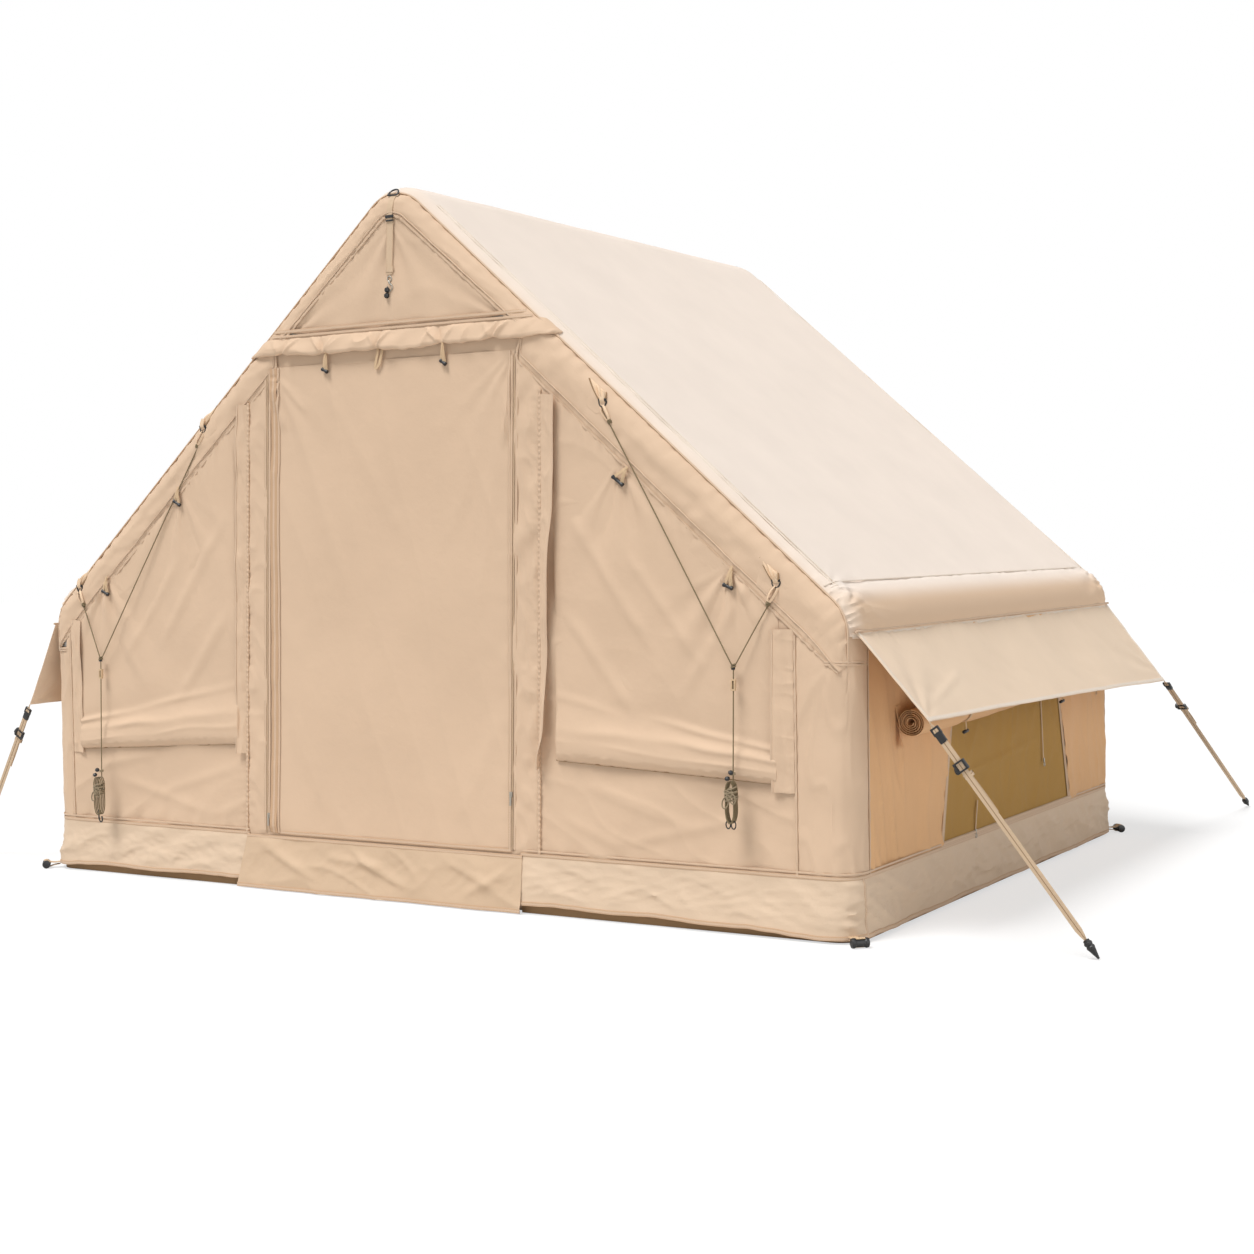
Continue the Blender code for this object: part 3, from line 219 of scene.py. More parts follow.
def shell(points, normals, thick, keep=None, uv=None):
    """A closed cloth from a grid of outer points: vertices, quads and UV in metres."""
    rows, cols = points.shape[:2]
    index = np.arange(rows * cols).reshape(rows, cols)
    quads = np.stack([index[:-1, :-1], index[:-1, 1:], index[1:, 1:], index[1:, :-1]], -1)
    quads = (quads[keep] if keep is not None else quads).reshape(-1, 4)
    flat, out = points.reshape(-1, 3), normals.reshape(-1, 3)
    cross = np.cross(flat[quads[:, 2]] - flat[quads[:, 0]], flat[quads[:, 3]] - flat[quads[:, 1]])
    if (cross * out[quads[:, 0]]).sum() < 0:
        quads = quads[:, ::-1]
    n = rows * cols
    edges = np.concatenate([quads[:, [k, (k + 1) % 4]] for k in range(4)])
    lone = ~np.isin(edges[:, 0] * n + edges[:, 1], edges[:, 1] * n + edges[:, 0])
    rim = edges[lone]
    rim = np.stack([rim[:, 1], rim[:, 0], rim[:, 0] + n, rim[:, 1] + n], -1)
    faces = np.concatenate([quads, quads[:, ::-1] + n, rim])
    if uv is None:
        steps_u = np.linalg.norm(np.diff(points, axis=0), axis=-1).mean(1)
        steps_v = np.linalg.norm(np.diff(points, axis=1), axis=-1).mean(0)
        u, v = np.cumsum([0, *steps_u]), np.cumsum([0, *steps_v])
        uv = np.stack(np.meshgrid(u, v, indexing="ij"), -1)
    uv = uv.reshape(-1, 2)
    return np.concatenate([flat, flat - out * thick]), faces, np.concatenate([uv, uv])


def frames(path, hint):
    """Tangents, and two unit vectors square to them, the first near to hint (one vector, or one per point)."""
    path = np.asarray(path, float)
    ahead = np.gradient(path, axis=0)
    ahead /= np.linalg.norm(ahead, axis=1)[:, None]
    hint = np.broadcast_to(np.asarray(hint, float), path.shape)
    first = hint - ahead * (hint * ahead).sum(1)[:, None]
    first /= np.linalg.norm(first, axis=1)[:, None]
    return ahead, first, np.cross(ahead, first)


def sweep(path, hint, profile, closed=False, scale=None):
    """A profile of (across, out) swept along the path; out points to hint. Ends are capped unless closed."""
    path = np.asarray(path, float)
    if closed:
        ring = np.concatenate([path[-2:], path, path[:2]])
        hints = np.broadcast_to(np.asarray(hint, float), path.shape)
        hints = np.concatenate([hints[-2:], hints, hints[:2]])
        _, out, across = (a[2:-2] for a in frames(ring, hints))
    else:
        _, out, across = frames(path, hint)
    profile = np.asarray(profile, float)
    sizes = np.ones(len(path)) if scale is None else np.asarray(scale, float)
    shape = profile[None] * sizes[:, None, None]
    points = path[:, None] + across[:, None] * shape[..., :1] + out[:, None] * shape[..., 1:]
    rows, cols = points.shape[:2]
    index = np.arange(rows * cols).reshape(rows, cols)
    nxt = np.roll(index, -1, axis=1)
    one = index if closed else index[:-1]
    two = np.roll(index, -1, axis=0) if closed else index[1:]
    side = nxt if closed else nxt[:-1]
    far = np.roll(nxt, -1, axis=0) if closed else nxt[1:]
    faces = [tuple(q) for q in np.stack([one, side, far, two], -1).reshape(-1, 4)]
    if not closed:
        faces += [tuple(index[0][::-1]), tuple(index[-1])]
    run = np.concatenate([[0], np.cumsum(np.linalg.norm(np.diff(path, axis=0), axis=1))])
    uv = np.stack(np.meshgrid(run, profile[:, 0], indexing="ij"), -1).reshape(-1, 2)
    return points.reshape(-1, 3), faces, uv


def round_profile(radius, sides=10, flatten=1.0):
    turn = np.arange(sides) * 2 * math.pi / sides
    return np.stack([np.cos(turn) * radius, np.sin(turn) * radius * flatten], -1)


def flat_profile(width, thick, bow=0.0):
    """A flat band with rounded edges, its underside at 0."""
    w, t = width / 2, thick
    return [(-w, 0), (w, 0), (w + t * 0.2, t * 0.5), (w * 0.96, t), (w * 0.5, t + bow * 0.7), (0, t + bow),
            (-w * 0.5, t + bow * 0.7), (-w * 0.96, t), (-w - t * 0.2, t * 0.5)]


def lathe(base, axis, profile, sides=24, hint=(0, 0, 1)):
    """A turned solid of (distance, radius) rows."""
    axis = Vector(axis).normalized()
    first = (Vector(hint) - axis * axis.dot(Vector(hint))).normalized()
    second = axis.cross(first)
    turn = np.arange(sides) * 2 * math.pi / sides
    circle = np.outer(np.cos(turn), first) + np.outer(np.sin(turn), second)
    rows = [np.array(base) + np.array(axis) * d + circle * r for d, r in profile]
    points = np.concatenate(rows)
    index = np.arange(len(points)).reshape(len(profile), sides)
    nxt = np.roll(index, -1, axis=1)
    faces = [tuple(q) for q in np.stack([index[:-1], nxt[:-1], nxt[1:], index[1:]], -1).reshape(-1, 4)]
    faces += [tuple(index[0][::-1]), tuple(index[-1])]
    run = np.repeat([d for d, _ in profile], sides)
    return points, faces, np.stack([np.tile(turn * 0.01, len(profile)), run], -1)


def block(centre, axes, size, bevel=0.0015, cuts=2):
    """A box with rounded edges on three given axes."""
    bm = bmesh.new()
    bmesh.ops.create_cube(bm, size=1.0)
    bmesh.ops.scale(bm, vec=size, verts=bm.verts)
    bmesh.ops.bevel(bm, geom=bm.edges[:], offset=bevel, segments=cuts, affect="EDGES", profile=0.6)
    turn = np.array([Vector(a).normalized() for a in axes])
    points = np.array([v.co for v in bm.verts]) @ turn + np.array(centre)
    bm.verts.index_update()
    faces = [tuple(v.index for v in f.verts) for f in bm.faces]
    bm.free()
    return points, faces, points[:, [0, 2]]


def curve_points(route, steps=8):
    """A smooth line through the route."""
    route = [Vector(p) for p in route]
    ends = [route[0] * 2 - route[1], *route, route[-1] * 2 - route[-2]]
    points = []
    for a, b, c, d in zip(ends, ends[1:], ends[2:], ends[3:]):
        for k in range(steps):
            t = k / steps
            points.append((b * 2 + (c - a) * t + (a * 2 - b * 5 + c * 4 - d) * t**2 + (b * 3 - a - c * 3 + d) * t**3) / 2)
    return [tuple(p) for p in points + [route[-1]]]


class Piece:
    """Gathers shapes of one finish that ride on one body, and makes them one object."""

    def __init__(self, name, body, slot, look=None):
        self.name, self.body, self.slot, self.look = name, body, slot, look or slot
        self.points, self.faces, self.uv, self.count = [], [], [], 0

    def add(self, shape):
        points, faces, uv = shape
        points = np.asarray(points, float)
        local = points - points.mean(0)
        fans = np.array([(f[0], f[k], f[k + 1]) for f in faces for k in range(1, len(f) - 1)])
        turned = np.einsum("ij,ij->i", local[fans[:, 0]], np.cross(local[fans[:, 1]], local[fans[:, 2]])).sum() < 0
        self.points.append(points)
        self.faces += [tuple(int(i) + self.count for i in (f[::-1] if turned else f)) for f in faces]
        self.uv.append(np.asarray(uv, float))
        self.count += len(points)
        return self

    def build(self, *nodes, ride=True, angle=38):
        mesh = bpy.data.meshes.new(self.name)
        points, uv = np.concatenate(self.points), np.concatenate(self.uv)
        mesh.from_pydata(points.tolist(), [], self.faces)
        layer = mesh.uv_layers.new(name="UVMap")
        loops = np.empty(len(mesh.loops), np.int32)
        mesh.loops.foreach_get("vertex_index", loops)
        layer.data.foreach_set("uv", uv[loops].astype(np.float32).ravel())
        mesh.materials.append(LOOKS[self.look])
        mesh.shade_smooth()
        mesh.set_sharp_from_angle(angle=math.radians(angle))
        mesh.update()
        obj = bpy.data.objects.new(self.name, mesh)
        bpy.context.scene.collection.objects.link(obj)
        if ride:
            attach(obj, self.body)
        if nodes:
            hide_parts(*nodes)
        return obj


# Finishes


def node(tree, kind, links=(), **values):
    """One shader node; values set its inputs by name or its settings."""
    made = tree.nodes.new(kind)
    for key, value in values.items():
        name = key.replace("_", " ").title()
        if hasattr(made, key):
            setattr(made, key, value)
        else:
            made.inputs[name].default_value = value
    for source, socket in links:
        tree.links.new(source, made.inputs[socket])
    return made


def mix(tree, factor, one, two, kind="MIX"):
    """A colour mix; one and two are colours or the sockets that give them. Returns its colour socket."""
    made = tree.nodes.new("ShaderNodeMix")
    made.data_type, made.blend_type = "RGBA", kind
    for socket, value in ((made.inputs[0], factor), (made.inputs[6], one), (made.inputs[7], two)):
        if isinstance(value, bpy.types.NodeSocket):
            tree.links.new(value, socket)
        else:
            socket.default_value = value
    return made.outputs[2]


def new_look(name):
    look = bpy.data.materials.new(name)
    look.use_nodes = True
    return look, look.node_tree, look.node_tree.nodes["Principled BSDF"]


def shade(colour, k):
    return (*(min(1.0, c * k) for c in colour), 1)


def cloth_look(name, colour, rough=0.68, weave=0.0011, bump=0.25, wrinkle=0.0016, sheen=0.04, spread=0.05, low=None):
    """Coated woven cloth: a plain weave, soft wrinkles and a slightly uneven tone; with low, a tan towards the eaves
    and painted shade on the rounded front and rear edges.
    """
    look, tree, shader = new_look(name)
    uv = node(tree, "ShaderNodeUVMap")
    place = node(tree, "ShaderNodeTexCoord")
    scale = 0.3142 / weave
    warp = node(tree, "ShaderNodeTexWave", [(uv.outputs["UV"], "Vector")], bands_direction="X", scale=scale, distortion=0.4)
    weft = node(tree, "ShaderNodeTexWave", [(uv.outputs["UV"], "Vector")], bands_direction="Y", scale=scale, distortion=0.4)
    threads = node(tree, "ShaderNodeMath", [(warp.outputs["Fac"], 0), (weft.outputs["Fac"], 1)], operation="MULTIPLY")
    broad = node(tree, "ShaderNodeTexNoise", [(place.outputs["Object"], "Vector")], scale=5.0, detail=3.0, roughness=0.55)
    fine = node(tree, "ShaderNodeTexNoise", [(place.outputs["Object"], "Vector")], scale=34.0, detail=4.0, roughness=0.6)
    slub = node(tree, "ShaderNodeTexNoise", [(uv.outputs["UV"], "Vector")], scale=900.0, detail=2.0)
    tone = mix(tree, broad.outputs["Fac"], shade(colour, 1 - spread), shade(colour, 1 + spread))
    if low:
        # The low tone is the eave band's tan below the crease; its fade up to the roof's cream over the band's upper
        # part is partly a painted highlight on its upturned top
        spot = node(tree, "ShaderNodeSeparateXYZ", [(place.outputs["Object"], "Vector")])
        height = node(tree, "ShaderNodeMapRange", [(spot.outputs["Z"], "Value")], interpolation_type="SMOOTHSTEP")
        for name_, value in (("From Min", low[1]), ("From Max", low[2]), ("To Min", 0.0), ("To Max", 1.0)):
            height.inputs[name_].default_value = value
        tone = mix(tree, height.outputs["Result"], shade(low[0], 1), tone)
        # Painted shade: the cloth is darkened where it turns down round the rounded front and rear edges, to hold back
        # the light they catch
        depth = node(tree, "ShaderNodeMath", [(spot.outputs["Y"], 0)], operation="ABSOLUTE")
        turned = node(tree, "ShaderNodeMapRange", [(depth.outputs["Value"], "Value")])
        turned.inputs["From Min"].default_value, turned.inputs["From Max"].default_value = EDGE_LINE, HALF_DEPTH - 0.012
        tone = mix(tree, turned.outputs["Result"], tone, shade([c * k for c, k in zip(colour, (0.86, 0.82, 0.77))], 1))
    grain = mix(tree, slub.outputs["Fac"], (0.94, 0.93, 0.92, 1), (1.0, 1.0, 1.0, 1))
    tree.links.new(mix(tree, 0.8, tone, grain, "MULTIPLY"), shader.inputs["Base Color"])
    soft = node(tree, "ShaderNodeBump", [(fine.outputs["Fac"], "Height")], strength=0.55, distance=wrinkle)
    first = node(tree, "ShaderNodeBump", [(broad.outputs["Fac"], "Height"), (soft.outputs["Normal"], "Normal")],
                 strength=0.5, distance=wrinkle * 5)
    last = node(tree, "ShaderNodeBump", [(threads.outputs["Value"], "Height"), (first.outputs["Normal"], "Normal")],
                strength=bump, distance=weave * 0.25)
    tree.links.new(last.outputs["Normal"], shader.inputs["Normal"])
    rise = node(tree, "ShaderNodeMapRange", [(fine.outputs["Fac"], "Value")])
    rise.inputs["To Min"].default_value = rough - 0.06
    rise.inputs["To Max"].default_value = rough + 0.08
    tree.links.new(rise.outputs["Result"], shader.inputs["Roughness"])
    shader.inputs["Sheen Weight"].default_value = sheen
    shader.inputs["Sheen Roughness"].default_value = 0.45
    shader.inputs["Specular IOR Level"].default_value = 0.16
    return look


def band_look(name, colour, rough=0.75, rib=0.0022, stitch=None, thread_and_shade_tone=(0.80, 0.71, 0.62)):
    """Woven webbing, cord or a sewn seam; stitch is how far its two rows of thread lie from the middle. Wider than its
    stitches, the band's edges are darkened as painted shade.
    """
    look, tree, shader = new_look(name)
    uv = node(tree, "ShaderNodeUVMap")
    ribs = node(tree, "ShaderNodeTexWave", [(uv.outputs["UV"], "Vector")], bands_direction="Y", scale=0.3142 / rib, distortion=0.3)
    cross = node(tree, "ShaderNodeTexWave", [(uv.outputs["UV"], "Vector")], bands_direction="X", scale=0.3142 / (rib * 0.7),
                 distortion=0.8)
    both = node(tree, "ShaderNodeMath", [(ribs.outputs["Fac"], 0), (cross.outputs["Fac"], 1)], operation="MULTIPLY")
    tone = mix(tree, both.outputs["Value"], shade(colour, 0.86), shade(colour, 1.08))
    height = both.outputs["Value"]
    if stitch is not None:
        spot = node(tree, "ShaderNodeSeparateXYZ", [(uv.outputs["UV"], "Vector")])
        side = node(tree, "ShaderNodeMath", [(spot.outputs["Y"], 0)], operation="ABSOLUTE")
        row = node(tree, "ShaderNodeMath", [(side.outputs["Value"], 0)], operation="COMPARE")
        row.inputs[1].default_value, row.inputs[2].default_value = stitch, 0.0006 if stitch else 0.0011
        beat = node(tree, "ShaderNodeMath", [(spot.outputs["X"], 0)], operation="PINGPONG")
        beat.inputs[1].default_value = 0.0025
        dash = node(tree, "ShaderNodeMath", [(beat.outputs["Value"], 0)], operation="LESS_THAN")
        dash.inputs[1].default_value = 0.0018 if stitch else 1.0
        thread = node(tree, "ShaderNodeMath", [(row.outputs["Value"], 0), (dash.outputs["Value"], 1)], operation="MULTIPLY")
        # dark is the thread's colour and also the colour of the painted shade at the band's edges
        dark = [c * k for c, k in zip(colour, thread_and_shade_tone)]
        tone = mix(tree, thread.outputs["Value"], tone, shade(dark, 0.94))
        # Painted shade: beyond its stitches the band is darkened, as the shade along a raised seam's edges
        edge = node(tree, "ShaderNodeMath", [(side.outputs["Value"], 0)], operation="GREATER_THAN")
        edge.inputs[1].default_value = stitch * 1.45 or 1.0
        tone = mix(tree, edge.outputs["Value"], tone, shade(dark, 1))
        lifted = node(tree, "ShaderNodeMath", [(height, 0), (thread.outputs["Value"], 1)], operation="ADD")
        height = lifted.outputs["Value"]
    tree.links.new(tone, shader.inputs["Base Color"])
    last = node(tree, "ShaderNodeBump", [(height, "Height")], strength=0.5, distance=0.0004)
    tree.links.new(last.outputs["Normal"], shader.inputs["Normal"])
    shader.inputs["Roughness"].default_value = rough
    shader.inputs["Sheen Weight"].default_value = 0.1
    shader.inputs["Specular IOR Level"].default_value = 0.25
    return look


def solid_look(name, colour, rough, metal=0.0, grain=260.0, bump=0.12, spread=0.06):
    """Moulded plastic, film or metal with a fine grain and slight wear in its gloss."""
    look, tree, shader = new_look(name)
    place = node(tree, "ShaderNodeTexCoord")
    fine = node(tree, "ShaderNodeTexNoise", [(place.outputs["Object"], "Vector")], scale=grain, detail=3.0)
    broad = node(tree, "ShaderNodeTexNoise", [(place.outputs["Object"], "Vector")], scale=18.0, detail=3.0)
    tone = mix(tree, broad.outputs["Fac"], shade(colour, 1 - spread), shade(colour, 1 + spread))
    tree.links.new(tone, shader.inputs["Base Color"])
    last = node(tree, "ShaderNodeBump", [(fine.outputs["Fac"], "Height")], strength=bump, distance=0.0004)
    tree.links.new(last.outputs["Normal"], shader.inputs["Normal"])
    wear = node(tree, "ShaderNodeMapRange", [(broad.outputs["Fac"], "Value")])
    wear.inputs["To Min"].default_value = rough - 0.05
    wear.inputs["To Max"].default_value = rough + 0.10
    tree.links.new(wear.outputs["Result"], shader.inputs["Roughness"])
    shader.inputs["Metallic"].default_value = metal
    return look


LOOKS = {
    # Roof cloth: cream fading to the eave band's tan, with painted shade on its rounded front and rear edges
    "roof_cloth": cloth_look("Tent roof cloth", (0.86, 0.755, 0.67), wrinkle=0.0008, low=((0.73, 0.53, 0.37), 0.905, 0.968)),
    "awning_cloth": cloth_look("Tent awning cloth", (0.78, 0.62, 0.47), wrinkle=0.0008),
    "wall_cloth": cloth_look("Tent wall cloth", (0.68, 0.497, 0.352)),
    # Side cloth: the wall cloth in a warmer, more saturated tone, as painted shade under the awnings
    "side_cloth": cloth_look("Tent side cloth in painted shade", (0.73, 0.44, 0.23)),
    "skirt_cloth": cloth_look("Tent skirt cloth", (0.682, 0.526, 0.386), 0.56, wrinkle=0.003),
    "floor_cloth": cloth_look("Tent floor cloth", (0.33, 0.20, 0.10), 0.55),
    # Seams: their wide edges are darkened as painted shade, only faintly on the roof's seams
    "seam": band_look("Sewn seam", (0.68, 0.497, 0.352), 0.7, rib=0.0035, stitch=0.0030),
    "seam_light": band_look("Sewn roof seam", (0.82, 0.71, 0.60), 0.7, rib=0.0035, stitch=0.0030, thread_and_shade_tone=(0.93, 0.88, 0.83)),
    # Lighter than the wall cloth: painted highlight, so the anchor tabs and bridle loops read as lit
    "gusset": cloth_look("Anchor gusset with painted highlight", (0.78, 0.58, 0.40), 0.6, wrinkle=0.002),
    "strip_webbing": band_look("Stitched webbing", (0.68, 0.50, 0.34), stitch=0.011),
    "weld_tape": solid_look("Weld tape", (0.70, 0.70, 0.68), 0.4, grain=60.0),
    "zip_coil": band_look("Zip coil", (0.61, 0.44, 0.29), 0.6, rib=0.0016),
    # A dark band that is painted shade, laid where shade falls under folds and beside tabs
    "painted_shade_line": band_look("Painted shade line", (0.34, 0.21, 0.11), 0.8),
    # The guy cord in a lighter tone: painted highlight on the hank's wraps
    "cord_painted_highlight": band_look("Braided cord with painted highlight", (0.30, 0.235, 0.15), rib=0.0014),
    "flap_cloth": cloth_look("Threshold cloth", (0.61, 0.45, 0.312), 0.6, wrinkle=0.003),
    "webbing": band_look("Woven webbing", (0.66, 0.47, 0.29)),
    # Folded strap: with stitch at 0, a dark line runs down its middle as painted shade between the two folded layers
    "strap_band": band_look("Folded strap", (0.70, 0.52, 0.35), stitch=0.0, thread_and_shade_tone=(0.42, 0.32, 0.24)),
    "guy_cord": band_look("Braided cord", (0.22, 0.165, 0.09), rib=0.0014),
    "insect_screen": cloth_look("Insect screen", (0.43, 0.25, 0.075), 0.85, weave=0.0016, bump=0.5, wrinkle=0.002),
    "black_plastic": solid_look("Black moulded plastic", (0.014, 0.014, 0.015), 0.40),
    "hook_steel": solid_look("Satin steel", (0.42, 0.39, 0.34), 0.30, metal=1.0, grain=900.0),
    "bladder_film": solid_look("Bladder film", (0.80, 0.80, 0.78), 0.35, grain=60.0, bump=0.2),
}

# Camera, fitted to the photograph's edges

FOCAL = 1972.9
YAW, TILT, ROLL = math.radians(30.82), math.radians(2.43), math.radians(-0.94)
ahead = Vector((-math.sin(YAW) * math.cos(TILT), math.cos(YAW) * math.cos(TILT), -math.sin(TILT)))
level = Vector((math.cos(YAW), math.sin(YAW), 0))
upward = level.cross(ahead)
right_hand = level * math.cos(ROLL) + upward * math.sin(ROLL)
upright = upward * math.cos(ROLL) - level * math.sin(ROLL)
lens = bpy.data.cameras.new("Camera")
lens.sensor_width = 36.0
lens.lens = FOCAL / 1254 * 36.0
lens.clip_end = 100
camera = bpy.data.objects.new("Camera", lens)
camera.matrix_world = Matrix.Translation((3.671, -5.933, 1.085)) @ Matrix((right_hand, upright, -ahead)).transposed().to_4x4()
bpy.context.scene.collection.objects.link(camera)
bpy.context.scene.camera = camera

# Cords and straps, on the routes of the part's source

GUY_ANCHORS = {"left": ((-0.778, 0.0405), (-1.353, 0.0439)), "right": ((0.739, 0.0604), (1.280, 0.0871))}
GUY_JUNCTIONS = {"left": (-1.237, 0.247), "right": (1.159, 0.237)}
HANK_DROPS = {"left": (0.391, 0.516), "right": (0.308, 0.423)}
CORD = 0.004
STAND_OFF, HANK_OFF = 0.028, 0.052
RING, WIRE = 0.010, 0.0025
LOOPS, LOOP_POINTS, HANK_WIDTH = 4, 24, 0.034
DOWN = Vector((0, 0, -1))


def anchor_spots(key):
    return [(x, float(slope_z(x, inset))) for x, inset in GUY_ANCHORS[key]]


def ring_centre(spot):
    x, z = spot
    low = gable(x, z - 2.2 * RING)[0]
    return Vector((x, float(low[1]) - GAP - WIRE - 0.0006, z - RING * 0.6))


def curve(name, points, diameter, look, body, *nodes, sides=4, tips=1.0):
    data = bpy.data.curves.new(name, "CURVE")
    data.dimensions = "3D"
    data.bevel_depth = diameter / 2
    data.bevel_resolution = sides
    data.use_fill_caps = True
    spline = data.splines.new("POLY")
    spline.points.add(len(points) - 1)
    for slot, point in zip(spline.points, points):
        slot.co = (*point, 1)
    spline.points[0].radius = spline.points[-1].radius = tips
    data.materials.append(LOOKS[look])
    obj = bpy.data.objects.new(name, data)
    bpy.context.scene.collection.objects.link(obj)
    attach(obj, body)
    if nodes:
        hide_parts(*nodes)
    return obj


def guy_line(key):
    upper, lower = [ring_centre(spot) + DOWN * (RING + WIRE + 2 * GAP) for spot in anchor_spots(key)]
    x, drop = GUY_JUNCTIONS[key]
    junction = Vector((x, FRONT - STAND_OFF, anchor_spots(key)[1][1] - drop))
    legs = []
    for end in (upper, lower):
        straight = end + DOWN * CORD
        turn_in = junction + (straight - junction).normalized() * CORD * 3
        legs.append([end, end + DOWN * 0.0022, straight, *curve_points([straight + DOWN * CORD, (straight + turn_in) / 2, turn_in], 6)])
    bridle = legs[0] + [junction + DOWN * CORD / 4] + legs[1][::-1]
    body = f"guy_{key}"
    cord = curve(f"bridle_{key}", bridle, CORD * 0.92, "guy_cord", body, f"guy_bridle_{key}", tips=0.5)

    loops = Piece(f"bridle_loops_{key}", body, "webbing", "gusset")
    knots = Piece(f"bridle_knots_{key}", body, "guy_cord")
    for end in (upper, lower):
        way = (junction - end).normalized()
        wide = way.cross(Vector((0, 1, 0))).normalized()
        for off in (-1, 1):
            path = [end + way * d + wide * off * w + Vector((0, -y, 0)) for d, w, y in
                    ((-0.004, 0.0050, 0.002), (0.012, 0.0072, 0.006), (0.030, 0.0062, 0.006), (0.043, 0.0020, 0.003))]
            loops.add(sweep(curve_points(path, 5), (wide * off + Vector((0, -1.2, 0))).normalized(), flat_profile(0.0065, 0.0018, 0.0003)))
        for d, size in ((0.044, 0.0050), (0.0485, 0.0056), (0.053, 0.0046)):
            turn = np.linspace(0, 2 * math.pi, 17)[:-1]
            hoop = np.array([end + way * (d + 0.0016 * math.sin(a)) + wide * size * math.cos(a) + Vector((0, size * math.sin(a), 0)) for a in turn])
            knots.add(sweep(hoop, tuple(way), round_profile(0.0021, 8), closed=True))
    for d, size in ((0.004, 0.0058), (0.010, 0.0050)):
        turn = np.linspace(0, 2 * math.pi, 17)[:-1]
        hoop = np.array([junction + Vector((size * math.cos(a), size * math.sin(a), d + 0.002 * math.cos(a))) for a in turn])
        knots.add(sweep(hoop, (0, 0, 1), round_profile(0.0021, 8), closed=True))
    loops.build()
    knots.build()

    top_z, foot_z = [junction.z - drop for drop in HANK_DROPS[key]]
    start = junction + DOWN * (CORD * 0.75 + GAP)
    loops = []
    for k in range(LOOPS * LOOP_POINTS + 1):
        turn = 2 * math.pi * k / LOOP_POINTS
        depth = (k / LOOP_POINTS - LOOPS / 2) * (CORD + 0.0028)
        half = HANK_WIDTH / 2 * (0.72 + 0.28 * abs(math.cos(turn))) * (1 - 0.10 * (k // LOOP_POINTS) / LOOPS)
        z = (top_z + foot_z) / 2 + (top_z - foot_z) / 2 * math.cos(turn)
        loops.append(Vector((start.x + half * math.sin(turn), FRONT - HANK_OFF - depth, z)))
    entry = loops[0] - DOWN * CORD * 3
    points = [start + (entry - start) * k / 24 for k in range(24)] + [entry] + loops
    hank = curve(f"hank_{key}", points, CORD * 0.92, "guy_cord", body, f"guy_hank_{key}")

    # The wraps are the guy cord painted lighter, as highlight
    wraps = Piece(f"hank_wraps_{key}", body, "guy_cord", "cord_painted_highlight")
    middle_z = (top_z + foot_z) / 2 + 0.012
    for k in range(7):
        turn = np.linspace(0, 2 * math.pi, 25)[:-1]
        wide, tilt = 0.0185 - 0.0012 * abs(k - 3), (0.30, -0.25, 0.10, -0.45, 0.35, -0.10, 0.5)[k]
        hoop = np.stack([start.x + np.cos(turn) * wide, FRONT - HANK_OFF + np.sin(turn) * 0.0168,
                         middle_z + 0.004 + (k - 2) * 0.0050 + np.cos(turn) * wide * tilt + 0.0015 * np.sin(turn * 2)], -1)
        wraps.add(sweep(hoop, (0, 0, 1), round_profile(0.0022, 8), closed=True))
    for k, (dx, height, wide, tilt) in enumerate(((-0.010, 0.030, 0.010, 0.35), (0.012, 0.026, 0.009, -0.45), (0.002, 0.034, 0.007, 0.05))):
        turn = np.linspace(0, 2 * math.pi, 25)[:-1]
        rise, reach = np.sin(turn) * height * 0.5, np.cos(turn) * wide
        hoop = np.stack([start.x + dx + reach + rise * tilt, FRONT - HANK_OFF - 0.016 - 0.003 * np.cos(turn + k), middle_z + 0.012 * (k - 1) + rise - reach * tilt], -1)
        wraps.add(sweep(hoop, (0, -1, 0), round_profile(0.0020, 8), closed=True))
    knot_z = entry.z + 0.006
    for k, size in ((0, 0.0052), (1, 0.0046)):
        turn = np.linspace(0, 2 * math.pi, 15)[:-1]
        hoop = np.stack([entry.x + np.cos(turn) * size, entry.y + np.sin(turn) * size, knot_z + k * 0.0035 + 0.001 * np.cos(turn)], -1)
        wraps.add(sweep(hoop, (0, 0, 1), round_profile(0.0022, 8), closed=True))
    wraps = wraps.build()
    fittings = Piece(f"hank_fittings_{key}", body, "black_plastic")
    for k in range(2):
        base = Vector((start.x + 0.004 - 0.008 * k, FRONT - HANK_OFF - 0.010, top_z + 0.020 - 0.017 * k))
        fittings.add(lathe(base, (0.3 - 0.5 * k, -0.2, 1), [(0, 0.003), (0.003, 0.007), (0.008, 0.0075), (0.012, 0.004)], 14, (1, 0, 0)))
    if key == "left":
        hook = [(0.0, 0.004), (0.0, -0.012), (0.001, -0.026), (0.007, -0.036), (0.014, -0.034), (0.016, -0.025), (0.013, -0.018)]
        path = [(start.x + dx, FRONT - HANK_OFF - 0.004, foot_z + 0.012 + dz) for dx, dz in hook]
        fittings.add(sweep(curve_points(path, 4), (0, -1, 0), round_profile(0.0024, 8)))
    else:
        for k in range(2):
            turn = np.linspace(0, 2 * math.pi, 17)[:-1]
            hoop = np.stack([start.x - 0.010 + 0.018 * k + np.cos(turn) * 0.007, 0 * turn + FRONT - HANK_OFF - 0.003 * k,
                             foot_z - 0.004 + np.sin(turn) * 0.011], -1)
            fittings.add(sweep(hoop, (0, -1, 0), round_profile(0.0019, 6), closed=True))
    fittings = fittings.build()

